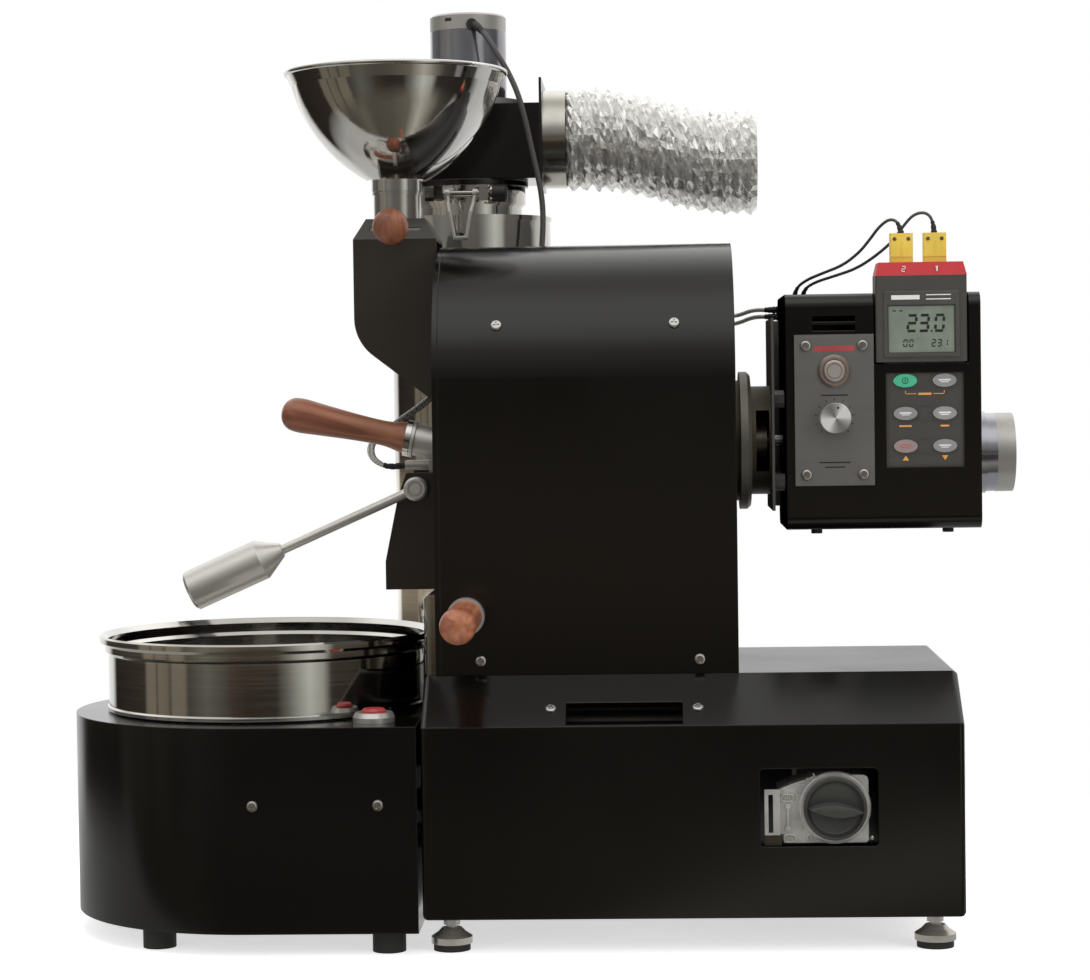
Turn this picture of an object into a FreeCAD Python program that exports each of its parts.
# Gas coffee roaster: a drum roaster on a burner base, with a cooling bin beside it.
# Millimetres. While it is drawn, X runs from the base casing's left end towards the drum motor,
# Y runs from the operator's side to the back and is zero at the drum's axis, and Z is up from the
# ground. At the end everything is moved so that the origin is on the ground under the middle
# of the whole machine.
import FreeCAD
import Part
import math
import os
from FreeCAD import Vector

# Shared sizes
WALL = 1.5
GAP = 0.3
OVERRUN = 5.0
FULL_TURN = 360
HALF_TURN = 180
QUARTER_TURN = 90
ARC_SHARE = 0.45

# Base casing
BASE_LENGTH = 373.4
BASE_DEPTH = 280.0
BASE_LIFT = 25.0
BASE_HEIGHT = 164.5
BEVEL_RISE = 31.5
BASE_ROUND = 4.0
BASE_FLANGE = 34.0
SLOT_START = 100.5
SLOT_LENGTH = 80.5
SLOT_HEIGHT = 12.9
SLOT_RISE = 1.1
LEDGE_DEPTH = 18.0

# Levelling feet and rubber feet
FOOT_LEFT = 18.4
FOOT_RIGHT_INSET = 19.1
FOOT_SIDE_INSET = 25.0
FOOT_DOME_RADIUS = 14.4
FOOT_NECK_RADIUS = 7.0
FOOT_STEM_RADIUS = 4.0
FOOT_NUT_ACROSS = 10.0
FOOT_PAD_RADIUS = 12.9
FOOT_PAD_HEIGHT = 5.0
FOOT_RIM_HEIGHT = 4.5
FOOT_DOME_HEIGHT = 10.5
FOOT_NUT_HEIGHT = 7.5
FOOT_STEM_TOP = 8.0
STEM_CLEARANCE = 0.1

# Drum casing
CASING_START = 12.4
CASING_LENGTH = 208.7
CASING_WIDTH = 193.0
CASING_HEIGHT = 305.0
CASING_FOOT = 14.0
FRONT_PLATE = 4.0
REAR_WALL = 2.0
FLAME_SIDE = 82.0
FLAME_MARGIN = 10.0

# Drum and its bearing housing
DRUM_LIFT = 160.9
DRUM_RADIUS = 78.0
DRUM_WALL = 2.5
DRUM_END_GAP = 2.6
DRUM_REAR_GAP = 9.1
DRUM_LIP = 8.0
VANE_COUNT = 4
VANE_HEIGHT = 20.0
VANE_THICK = 2.0
SPIDER_THICK = 2.0
SPIDER_HOLES = 6
SPIDER_HOLE_RADIUS = 14.0
SPIDER_HOLE_RING = 47.0
SHAFT_RADIUS = 7.5
SHAFT_HUB_RADIUS = 14.0
SHAFT_HUB_LENGTH = 15.0
BEARING_RADIUS = 17.5
BEARING_WIDTH = 11.0
BEARING_BORE_GAP = 0.05
HOUSING_NOSE_RADIUS = 24.0
HOUSING_NOSE_LENGTH = 22.0
HOUSING_PAD_RADIUS = 44.0
HOUSING_PAD = 4.9
FLANGE_RADIUS = 50.2
FLANGE_THICK = 8.0
FLANGE_ROUND = 2.5
NECK_RADIUS = 39.5
NECK_WALL = 6.0
NECK_LENGTH = 14.3
NECK_WINDOW = 44.0
NECK_WINDOW_LENGTH = 11.0
COUPLING_RADIUS = 14.0
COUPLING_LENGTH = 10.0
COUPLING_START = 2.0

# Heat damper in the casing's front
DAMPER_OFFSET = 18.0
DAMPER_LIFT = 42.0
DAMPER_INSET = 3.6
DAMPER_WIDTH = 48.0
DAMPER_LENGTH = 110.0
DAMPER_THICK = 1.5
DAMPER_TRAVEL = 60.0
DAMPER_ROD_RADIUS = 4.0
DAMPER_BOSS_RADIUS = 9.0
RAIL_WIDTH = 4.0
RAIL_HEIGHT = 4.4

# Turned wooden handle, used on the sampler and on the damper
HANDLE_LENGTH = 92.0
HANDLE_CROWN_RADIUS = 8.4
HANDLE_CROWN_SHARE = 0.97
HANDLE_PROFILE = (
    (0.0, 11.5),
    (0.06, 10.6),
    (0.13, 9.4),
    (0.21, 9.0),
    (0.3, 9.2),
    (0.45, 9.9),
    (0.6, 10.9),
    (0.75, 12.0),
    (0.85, 12.5),
    (0.92, 11.7),
)
FERRULE_RADIUS = 13.2
FERRULE_THICK = 4.0

# Front cover and upper chute
SKIRT_THICK = 9.0
SKIRT_HEIGHT = 56.6
SKIRT_SIDE = 88.0
SKIRT_ROUND = 6.0
CHUTE_REACH = 60.5
CHUTE_DEPTH = 60.0
CHUTE_SHEET = 2.0
CHUTE_TOP = 310.5
CHUTE_FOOT = 190.0
CHUTE_BEND_RADIUS = 34.0
CHUTE_SLOPE = 37.7
FEED_LOW = 4.0
FEED_HIGH = 30.0
FEED_SIDE = 22.0

# Chute cap, gate and hopper
CAP_RISE = 15.2
CAP_TOP = 42.8
NECK_BORE = 15.5
NECK_TUBE = 17.6
NECK_HEIGHT = 18.3
NECK_LIP = 18.6
NECK_LIP_HEIGHT = 2.0
GATE_RISE = 7.2
GATE_THICK = 2.0
GATE_WIDTH = 37.0
GATE_LENGTH = 44.0
GATE_TRAVEL = 38.0
GATE_ROD_RADIUS = 3.0
GATE_BALL_RADIUS = 12.9
GATE_BALL_REACH = 60.0
SPIGOT_RADIUS = 15.2
SPIGOT_WALL = 1.2
SPIGOT_DEPTH = 13.0
COLLAR_RADIUS = 19.0
COLLAR_HEIGHT = 8.3
BOWL_RIM_RADIUS = 80.8
BOWL_MIDDLE_RADIUS = 57.6
BOWL_WALL = 1.2
BOWL_HEIGHT = 78.0
BOWL_RIM_BEAD = 1.8
BOWL_WAIST = 22.0
BOWL_MIDDLE_SHARE = 0.395
BOWL_SHOULDER_RADIUS = 76.4
BOWL_LIP_SHARE = 0.88

# Discharge chute, door and weighted lever
DISCHARGE_FOOT = 56.9
DISCHARGE_TOP = 141.5
DISCHARGE_REACH = 40.0
DISCHARGE_UPPER_REACH = 30.2
DISCHARGE_APRON = 36.5
DISCHARGE_STRAIGHT = 20.5
DISCHARGE_SHOULDER = 124.5
DISCHARGE_SIDE = 35.0
DISCHARGE_TOP_REACH = 24.0
DOOR_LOW = 96.5
DOOR_HIGH = 124.5
DOOR_SIDE = 24.0
DOOR_THICK = 3.0
DOOR_LAP = 3.0
HINGE_REACH = 16.5
HINGE_LIFT = 130.0
HINGE_RADIUS = 4.0
HINGE_BORE_GAP = 0.08
HUB_RADIUS = 8.5
HUB_LENGTH = 14.0
LEVER_FALL = 23.7
LEVER_ROD_RADIUS = 3.5
LEVER_ROD_LENGTH = 106.6
WEIGHT_CONE = 16.4
WEIGHT_CONE_RADIUS = 5.0
WEIGHT_LENGTH = 57.1
WEIGHT_RADIUS = 14.65
WEIGHT_ROUND = 2.0

# Sampler, which slides in a guide through the front plate
SAMPLER_TILT = 12.7
SAMPLER_LIFT = 161.2
SAMPLER_SIDE = -30.0
SAMPLER_RADIUS = 8.8
SAMPLER_WALL = 1.0
SAMPLER_INSIDE = 78.0
SAMPLER_SCOOP = 62.0
GUIDE_RADIUS = 11.5
GUIDE_LENGTH = 18.0
RUNNING_GAP = 0.08
STOP_THICK = 2.4

# Two temperature probes and their leads
PROBE_LIFT = 146.0
PROBE_SPACING = 14.0
PROBE_SHEATH_RADIUS = 3.4
PROBE_TIP_RADIUS = 2.4
PROBE_REACH = 27.7
PROBE_NUT_ACROSS = 11.0
PROBE_NUT_LENGTH = 10.0
PROBE_INSIDE = 60.0
LEAD_RADIUS = 1.6

# Gas valve, burner and gas pipe
VALVE_INSET = 88.9
VALVE_LIFT = 75.0
WINDOW_LEFT = 51.2
WINDOW_RIGHT = 29.4
WINDOW_BELOW = 26.0
WINDOW_ABOVE = 27.7
WINDOW_ROUND = 3.0
VALVE_BLOCK_LEFT = 34.0
VALVE_BLOCK_RIGHT = 27.4
VALVE_BLOCK_HALF = 24.8
VALVE_BLOCK_DEPTH = 36.0
VALVE_BLOCK_BACKSET = 6.5
VALVE_BOSS_RADIUS = 23.8
VALVE_BOSS_HEIGHT = 2.2
VALVE_STRAP_WIDTH = 26.0
VALVE_STRAP_HALF = 31.0
VALVE_STRAP_SLOT = 5.0
VALVE_KNOB_RADIUS = 21.9
VALVE_KNOB_DEPTH = 7.0
VALVE_GRIP_WIDTH = 9.0
VALVE_GRIP_HEIGHT = 7.0
VALVE_GRIP_SHARE = 0.93
VALVE_STEM_RADIUS = 4.0
BURNER_TUBE_RADIUS = 11.0
BURNER_TUBE_WALL = 1.5
BURNER_SPREAD = 40.0
BURNER_DROP = 39.5
BURNER_START = 30.0
BURNER_LENGTH = 172.0
BURNER_SLOTS = 12
BURNER_SLOT_LENGTH = 5.0
BURNER_SLOT_WIDTH = 2.0
HANGER_THICK = 2.0
MANIFOLD_RADIUS = 9.0
PIPE_RADIUS = 5.0
INLET_OFFSET = 18.0
INLET_REACH = 26.0
INLET_COLLAR_RADIUS = 9.0
INLET_COLLAR_THICK = 3.0

# Cooler casing, bin, fan and switch
COOLER_GAP = 2.7
COOLER_STRAIGHT = 121.0
COOLER_LIFT = 15.7
COOLER_HEIGHT = 143.3
COOLER_FLANGE = 24.0
COOLER_FOOT_RADIUS = 11.7
COOLER_FOOT_LEFT = -190.0
COOLER_FOOT_RIGHT = -25.2
COOLER_FOOT_LEFT_INSET = 42.0
COOLER_FOOT_RIGHT_INSET = 22.0
SPACER_RADIUS = 9.0
SPACER_LIFT = 60.0
SPACER_SIDE = 90.0
VENT_COUNT = 5
VENT_WIDTH = 5.0
VENT_HEIGHT = 50.0
VENT_PITCH = 14.0
VENT_START = -100.0
VENT_LIFT = 40.0
BIN_MARGIN = 24.0
BIN_WALL = 1.2
BIN_HEIGHT = 55.6
BIN_RIM_REACH = 6.2
BIN_BEAD = 1.2
BIN_BEAD_HEIGHT = 3.5
BIN_STEP_REACH = 2.4
BIN_STEP_HEIGHT = 14.0
BIN_RIM_HEIGHT = 7.4
SIEVE_HEIGHT = 9.0
SIEVE_THICK = 1.2
SIEVE_HOLE_RADIUS = 1.8
SIEVE_PITCH = 13.0
BIN_LEDGE = 8.0
FAN_BAR_WIDTH = 44.0
FAN_BAR_LIFT = 12.0
FAN_BAR_THICK = 3.0
COOLER_MOTOR_RADIUS = 30.0
COOLER_MOTOR_HEIGHT = 32.0
COOLER_FAN_RADIUS = 62.0
COOLER_FAN_HEIGHT = 26.0
FAN_HUB_RADIUS = 10.0
FAN_SHAFT_RADIUS = 3.0
FAN_SHAFT_DEPTH = 12.0
FAN_BLADES = 8
FAN_PLATE = 1.5
FAN_RUNNING_GAP = 6.0
SWITCH_OFFSET = 34.9
SWITCH_INSET = 35.0
SWITCH_RADIUS = 14.7
SWITCH_RISE = 6.6
SWITCH_BODY_RADIUS = 10.5
SWITCH_BODY_DEPTH = 24.0
SWITCH_CAP_RADIUS = 8.6
SWITCH_CAP_RISE = 9.3
SWITCH_TRAVEL = 3.0

# Control box and drum motor
BOX_GAP = 9.6
BOX_LENGTH = 137.9
BOX_DEPTH = 120.0
BOX_BOTTOM = 287.0
BOX_HEIGHT = 167.7
BOX_ROUND = 9.0
BOX_BUMP_RADIUS = 4.0
BOX_BUMP_HEIGHT = 3.4
BOX_BUMP_INSET = 22.0
BOX_VENT_OFFSET = 18.9
BOX_VENT_LENGTH = 30.3
BOX_VENT_HEIGHT = 4.2
BOX_VENT_DROP = 15.7
BOX_VENT_PITCH = 6.4
BRACKET_THICK = 2.0
BRACKET_LOW = 50.0
BRACKET_HIGH = 88.0
BRACKET_SIDE = 45.0
BRACKET_BORE = 12.0
STANDOFF_ACROSS = 10.7
STANDOFF_RISE = 30.0
STANDOFF_SIDE = 30.0
MOTOR_RADIUS = 29.8
MOTOR_DROP = 11.0
MOTOR_REACH = 28.6
MOTOR_CAP_LENGTH = 20.0
MOTOR_CAP_STEP = 1.2
MOTOR_SHAFT_RADIUS = 4.0
MOTOR_SHAFT_REACH = 15.0

# Control panel, button and speed knob
PANEL_OFFSET = 6.0
PANEL_WIDTH = 56.1
PANEL_HEIGHT = 107.2
PANEL_RISE = 31.5
PANEL_THICK = 2.0
PANEL_SCREW_INSET = 7.9
BUTTON_DROP = 25.9
BEZEL_RADIUS = 11.6
BEZEL_HEIGHT = 2.6
BUTTON_RADIUS = 7.6
BUTTON_BODY_DEPTH = 20.0
BUTTON_BODY_WALL = 2.0
BUTTON_RISE = 1.6
BUTTON_TRAVEL = 2.5
KNOB_DROP = 59.2
KNOB_RADIUS = 10.8
KNOB_DEPTH = 13.0
KNOB_SPINDLE_RADIUS = 3.0
POT_RADIUS = 9.0
POT_DEPTH = 12.0

# Thermometer, its keys and plugs
METER_OFFSET = 95.9
METER_WIDTH = 64.4
METER_HEAD = 70.5
METER_HEAD_FOOT = 118.5
METER_DEPTH = 28.0
METER_PROUD = 3.5
METER_CAP_HEIGHT = 9.6
METER_CAP_TAPER = 2.3
METER_BODY_WIDTH = 57.0
METER_BODY_SHIFT = 2.4
METER_BODY_FOOT = 20.0
METER_NOTCH_MARGIN = 1.2
METER_ROUND = 2.0
DISPLAY_WIDTH = 46.8
DISPLAY_HEIGHT = 33.1
DISPLAY_RISE = 6.5
DISPLAY_RECESS = 1.2
KEY_WINDOW_WIDTH = 55.1
KEY_WINDOW_LOW = 44.1
KEY_WINDOW_HIGH = 110.8
KEY_COLUMN = 27.8
KEY_ROW = 23.2
KEY_TOP_DROP = 5.6
KEY_WIDTH = 17.0
KEY_HEIGHT = 9.6
KEY_PROUD = 1.2
KEY_DEPTH = 3.0
KEY_TRAVEL = 0.8
KEY_COLUMNS = 2
KEY_ROWS = 3
PLUG_WIDTH = 16.4
PLUG_DEPTH = 8.0
PLUG_HEIGHT = 21.0
PLUG_SPACING = 23.6
PLUG_SHIFT = -0.9
PLUG_ROUND = 1.5
MOTOR_LEAD_RADIUS = 2.2
WIRE_RADIUS = 1.1

# Chaff can, its neck, clamp and clip
CAN_START = 21.0
CAN_CASING_GAP = 10.3
CAN_RADIUS = 63.2
CAN_WALL = 1.2
CAN_HEIGHT = 341.8
CAN_BEAD = 1.0
CAN_BEAD_HEIGHT = 4.0
CAN_BEVEL_GAP = 1.96
SPIGOT_TUBE_RADIUS = 18.0
SPIGOT_TUBE_LIFT = 185.5
SPIGOT_FLANGE_RADIUS = 24.0
SPIGOT_FLANGE_THICK = 2.0
STACK_RADIUS = 42.5
STACK_WALL = 1.2
STACK_GASKET_RADIUS = 41.0
STACK_GASKET = 8.2
STACK_TOP = 24.2
BAND_THICK = 1.5
BAND_WIDTH = 14.0
EAR_THICK = 7.0
EAR_LENGTH = 13.6
EAR_HEIGHT = 12.0
EAR_LEFT = -25.0
EAR_RIGHT = 10.0
CLAMP_ROD_RADIUS = 2.6
CLAMP_LIFT = 16.8
CLAMP_KNOB_RADIUS = 6.7
CLAMP_KNOB_LENGTH = 14.5
CLAMP_NUT_ACROSS = 9.4
CLAMP_NUT_LENGTH = 7.0
CLIP_WIDTH = 26.0
CLIP_KNEE_WIDTH = 16.0
CLIP_TIP_WIDTH = 9.0
CLIP_KNEE_RISE = 2.0
CLIP_TIP_DROP = 18.0
CLIP_STANDOFF = 3.5
CLIP_WIRE = 1.4
HOOK_SIDE = 2.4
HOOK_GAP = 0.4
HOOK_REACH = 5.4
HOOK_RISE = 3.3
HOOK_HEIGHT = 6.5
CLIP_EYE_WALL = 1.4
CLIP_EYE_LENGTH = 4.0
SHELF_THICK = 3.0
SHELF_SIDE = 40.0
SHELF_DROP = 90.0

# Exhaust fan, its motor and the duct
FAN_BOX_LEFT = 56.9
FAN_BOX_LENGTH = 113.8
FAN_FOOT_RADIUS = 46.0
FAN_FOOT = 4.5
FAN_BOX_DEPTH = 84.0
FAN_BOX_HEIGHT = 58.5
FAN_INLET_RADIUS = 34.0
FAN_END_THICK = 2.0
FAN_END_LOW = 6.5
FAN_END_HIGH = 78.0
DUCT_COLLAR_RADIUS = 38.4
DUCT_COLLAR_WALL = 1.2
DUCT_COLLAR_LENGTH = 18.0
DUCT_COLLAR_RISE = 33.0
EXHAUST_FAN_RADIUS = 34.0
EXHAUST_FAN_HEIGHT = 38.0
FAN_MOTOR_PLATE_RADIUS = 41.0
FAN_MOTOR_PLATE = 5.5
FAN_MOTOR_RADIUS = 30.0
FAN_MOTOR_HEIGHT = 54.5
FAN_MOTOR_CAP = 18.0
DUCT_LENGTH = 149.5
DUCT_DROP = 21.0
DUCT_RIBS = 15
DUCT_RADIUS = 40.4
DUCT_VALLEY_RADIUS = 37.4
DUCT_WALL = 1.0
DUCT_START_SHARE = 0.12
DUCT_END_SHARE = 0.88
DUCT_RIB_SHARES = ((0.0, 0.0), (0.3, 1.0), (0.6, 1.0), (0.9, 0.0))

# Screws
SCREW_HEAD_RADIUS = 3.8
SCREW_HEAD_HEIGHT = 2.2
SCREW_SHANK_RADIUS = 1.9
SCREW_LENGTH = 7.0
SCREW_HOLE_GAP = 0.1
SMALL_SCREW_SHARE = 0.72

# Places worked out from the sizes above
BASE_TOP = BASE_LIFT + BASE_HEIGHT
BEVEL_RUN = (BASE_DEPTH - CASING_WIDTH) / 2
FRONT_HEIGHT = BASE_HEIGHT - BEVEL_RISE
BASE_SIDE = BASE_DEPTH / 2
CASING_SIDE = CASING_WIDTH / 2
SPRING = BASE_TOP + CASING_HEIGHT - CASING_SIDE
CASING_END = CASING_START + CASING_LENGTH
PLATE_FACE = CASING_START - FRONT_PLATE
DRUM_Z = BASE_TOP + DRUM_LIFT
DRUM_START = CASING_START + DRUM_END_GAP
DRUM_END = CASING_END - HOUSING_NOSE_LENGTH - DRUM_REAR_GAP
DRUM_LENGTH = DRUM_END - DRUM_START
FOOT_RIGHT = BASE_LENGTH - FOOT_RIGHT_INSET
FOOT_SIDE = BASE_SIDE - FOOT_SIDE_INSET
VALVE_START = BASE_LENGTH - VALVE_INSET
COOLER_RADIUS = BASE_SIDE
COOLER_FOOT_LEFT_SIDE = COOLER_RADIUS - COOLER_FOOT_LEFT_INSET
COOLER_FOOT_RIGHT_SIDE = COOLER_RADIUS - COOLER_FOOT_RIGHT_INSET
BIN_RADIUS = COOLER_RADIUS - BIN_MARGIN
BIN_RIM_RADIUS = BIN_RADIUS + BIN_RIM_REACH
BIN_STEP_RADIUS = BIN_RADIUS + BIN_STEP_REACH
BIN_OPENING = BIN_RADIUS - BIN_LEDGE
SWITCH_SIDE = SWITCH_INSET - COOLER_RADIUS
CAN_BACK = CASING_SIDE + CAN_CASING_GAP + CAN_RADIUS
COOLER_X = -COOLER_GAP - COOLER_STRAIGHT
COOLER_TOP = COOLER_LIFT + COOLER_HEIGHT
HOPPER_X = PLATE_FACE - CHUTE_REACH / 2
FLANGE_START = CASING_END + HOUSING_PAD
NECK_START = FLANGE_START + FLANGE_THICK
NECK_END = NECK_START + NECK_LENGTH
BOX_START = NECK_END + BOX_GAP
BOX_END = BOX_START + BOX_LENGTH
BOX_TOP = BOX_BOTTOM + BOX_HEIGHT
BOX_FRONT = -BOX_DEPTH / 2
MOTOR_Z = DRUM_Z - MOTOR_DROP
CAP_Z = BASE_TOP + CHUTE_TOP
GATE_Z = CAP_Z + GATE_RISE
NECK_Z = CAP_Z + CAP_RISE
COLLAR_Z = NECK_Z + NECK_HEIGHT + NECK_LIP_HEIGHT + GAP
HINGE_X = PLATE_FACE - HINGE_REACH
HINGE_Z = BASE_TOP + HINGE_LIFT
CAN_LIFT = BASE_TOP - BEVEL_RISE * CAN_CASING_GAP / BEVEL_RUN + CAN_BEVEL_GAP
CAN_TOP = CAN_LIFT + CAN_HEIGHT
STACK_END = CAN_TOP + STACK_TOP + FAN_FOOT
FAN_TOP = STACK_END + FAN_BOX_HEIGHT
FAN_BOX_START = CAN_START - FAN_BOX_LEFT
FAN_BOX_END = FAN_BOX_START + FAN_BOX_LENGTH
METER_X = BOX_START + METER_OFFSET
METER_FRONT = BOX_FRONT - METER_PROUD
KEY_X = METER_X + METER_BODY_SHIFT

pieces = {}


def keep(name, shape):
    """Store one named piece of the roaster."""
    pieces[name] = shape


def block(x0, x1, y0, y1, z0, z1):
    """A box between two corners."""
    return Part.makeBox(x1 - x0, y1 - y0, z1 - z0, Vector(x0, y0, z0))


def bar(start, end, radius):
    """A round bar from one point to another."""
    line = end - start
    return Part.makeCylinder(radius, line.Length, start, line)


def pipe(start, end, outer, inner):
    """A round tube from one point to another."""
    return bar(start, end, outer).cut(bar(start, end, inner))


def prism(points, length):
    """A polygon of points, pushed along a vector."""
    return Part.Face(Part.makePolygon(points + points[:1])).extrude(length)


def turned(outline, place, axis):
    """An outline of (radius, height) points, turned about an axis that starts at place."""
    points = [Vector(radius, 0, height) for radius, height in outline]
    face = Part.Face(Part.makePolygon(points + points[:1]))
    solid = face.revolve(Vector(0, 0, 0), Vector(0, 0, 1), FULL_TURN)
    solid.Placement = FreeCAD.Placement(place, FreeCAD.Rotation(Vector(0, 0, 1), axis))
    return solid


def hexagon(start, end, across):
    """A hexagonal bar, given its width across the flats."""
    corner = across / math.sqrt(3)
    line = end - start
    points = []
    for step in range(6):
        turn = math.radians(step * FULL_TURN / 6)
        points.append(Vector(corner * math.cos(turn), corner * math.sin(turn), 0))
    solid = prism(points, Vector(0, 0, line.Length))
    solid.Placement = FreeCAD.Placement(start, FreeCAD.Rotation(Vector(0, 0, 1), line))
    return solid


def softened(shape, radius, direction):
    """Round the straight edges that run along a direction."""
    edges = []
    for edge in shape.Edges:
        if edge.Curve.TypeId != "Part::GeomLine":
            continue
        if abs(edge.tangentAt(edge.FirstParameter).dot(direction)) > 0.999:
            edges.append(edge)
    return shape.makeFillet(radius, edges)


def fused(shapes):
    """Join several solids into one."""
    whole = shapes[0]
    for shape in shapes[1:]:
        whole = whole.fuse(shape)
    return whole.removeSplitter()


def cut_all(shape, tools):
    """Cut several tools out of a shape."""
    for tool in tools:
        shape = shape.cut(tool)
    return shape


def group(shapes):
    """Several separate solids that share one node."""
    solids = []
    for shape in shapes:
        solids.extend(shape.Solids)
    return Part.makeCompound(solids)


def screw(place, outward, share=1.0):
    """A pan-head screw that sits on a face."""
    head = SCREW_HEAD_RADIUS * share
    rise = SCREW_HEAD_HEIGHT * share
    shank = SCREW_SHANK_RADIUS * share
    outline = [
        (0, -SCREW_LENGTH * share),
        (shank, -SCREW_LENGTH * share),
        (shank, 0),
        (head, 0),
        (head, rise * 0.4),
        (head * 0.6, rise),
        (0, rise),
    ]
    return turned(outline, place, outward)


def screw_hole(place, outward, share=1.0):
    """The clearance hole of a screw."""
    way = Vector(outward).normalize()
    radius = (SCREW_SHANK_RADIUS + SCREW_HOLE_GAP) * share
    return bar(place - way * (SCREW_LENGTH + SCREW_LENGTH), place + way * OVERRUN, radius)


BEVEL_OUT = Vector(0, -BEVEL_RISE, BEVEL_RUN)
BEVEL_SCREW_RISE = BEVEL_RISE / 3
BEVEL_SCREW_Y = BASE_SIDE - BEVEL_RUN / 3
SLOT_SCREW_GAP = 10.5
BASE_SCREWS = [
    (Vector(x, -BEVEL_SCREW_Y, BASE_LIFT + FRONT_HEIGHT + BEVEL_SCREW_RISE), BEVEL_OUT)
    for x in (SLOT_START - SLOT_SCREW_GAP, SLOT_START + SLOT_LENGTH + SLOT_SCREW_GAP)
]

ARCH_SCREW_TURN = 22.4
ARCH_SCREW_LEFT = 41.7
ARCH_SCREW_RIGHT = 42.3
FOOT_SCREW_LEFT = 27.9
FOOT_SCREW_RIGHT = 27.2
FOOT_SCREW_LIFT = 10.0


def casing_screws():
    """Screws of the drum casing, on its front side and its back side."""
    turn = math.radians(ARCH_SCREW_TURN)
    found = []
    for side in (-1, 1):
        out = Vector(0, side * math.cos(turn), math.sin(turn))
        for x in (CASING_START + ARCH_SCREW_LEFT, CASING_END - ARCH_SCREW_RIGHT):
            found.append((Vector(x, 0, SPRING) + out * CASING_SIDE, out))
        for x in (CASING_START + FOOT_SCREW_LEFT, CASING_END - FOOT_SCREW_RIGHT):
            place = Vector(x, side * CASING_SIDE, BASE_TOP + FOOT_SCREW_LIFT)
            found.append((place, Vector(0, side, 0)))
    return found


COOLER_SCREW_LEFT = 7.0
COOLER_SCREW_RIGHT = 27.0
COOLER_SCREW_LIFT = 89.3


def cooler_screws():
    """Screws of the cooler casing, on its front side and its back side."""
    found = []
    for side in (-1, 1):
        for x in (COOLER_X + COOLER_SCREW_LEFT, -COOLER_GAP - COOLER_SCREW_RIGHT):
            place = Vector(x, side * COOLER_RADIUS, COOLER_LIFT + COOLER_SCREW_LIFT)
            found.append((place, Vector(0, side, 0)))
    return found


def panel_screws():
    """Screws at the corners of the control panel."""
    left = BOX_START + PANEL_OFFSET + PANEL_SCREW_INSET
    right = BOX_START + PANEL_OFFSET + PANEL_WIDTH - PANEL_SCREW_INSET
    low = BOX_BOTTOM + PANEL_RISE + PANEL_SCREW_INSET
    high = BOX_BOTTOM + PANEL_RISE + PANEL_HEIGHT - PANEL_SCREW_INSET
    face = BOX_FRONT - PANEL_THICK
    return [(Vector(x, face, z), Vector(0, -1, 0)) for x in (left, right) for z in (low, high)]


def bracket_screws():
    """Screws that hold the box bracket to the bearing housing's neck."""
    ring = NECK_RADIUS - NECK_WALL / 2
    found = []
    for way in (1, -1):
        place = Vector(NECK_END + BRACKET_THICK, 0, DRUM_Z + way * ring)
        found.append((place, Vector(1, 0, 0)))
    return found


def make_screws():
    """Every fixed screw, as separate solids in one node."""
    large = BASE_SCREWS + casing_screws() + cooler_screws() + panel_screws()
    shapes = [screw(place, out) for place, out in large]
    shapes += [screw(place, out, SMALL_SCREW_SHARE) for place, out in bracket_screws()]
    keep("casing_screws", group(shapes))


# Base
def base_outline(inset, x):
    """The base's section: a box whose long top edges are bevelled."""
    side = BASE_SIDE - inset
    top = BASE_TOP - inset
    slope = math.hypot(BEVEL_RISE, BEVEL_RUN)
    shift = inset * (slope - BEVEL_RUN) / BEVEL_RISE
    lower = BASE_LIFT + FRONT_HEIGHT - inset * (slope - BEVEL_RISE) / BEVEL_RUN
    flat = CASING_SIDE - shift
    low = BASE_LIFT + inset
    return [
        Vector(x, -side, low),
        Vector(x, side, low),
        Vector(x, side, lower),
        Vector(x, flat, top),
        Vector(x, -flat, top),
        Vector(x, -side, lower),
    ]


def valve_window():
    """The cut-out in the base's front face for the gas valve."""
    z = BASE_LIFT + VALVE_LIFT
    window = block(
        VALVE_START - WINDOW_LEFT,
        VALVE_START + WINDOW_RIGHT,
        -BASE_SIDE - OVERRUN,
        -BASE_SIDE + OVERRUN,
        z - WINDOW_BELOW,
        z + WINDOW_ABOVE,
    )
    return softened(window, WINDOW_ROUND, Vector(0, 1, 0))


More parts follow.
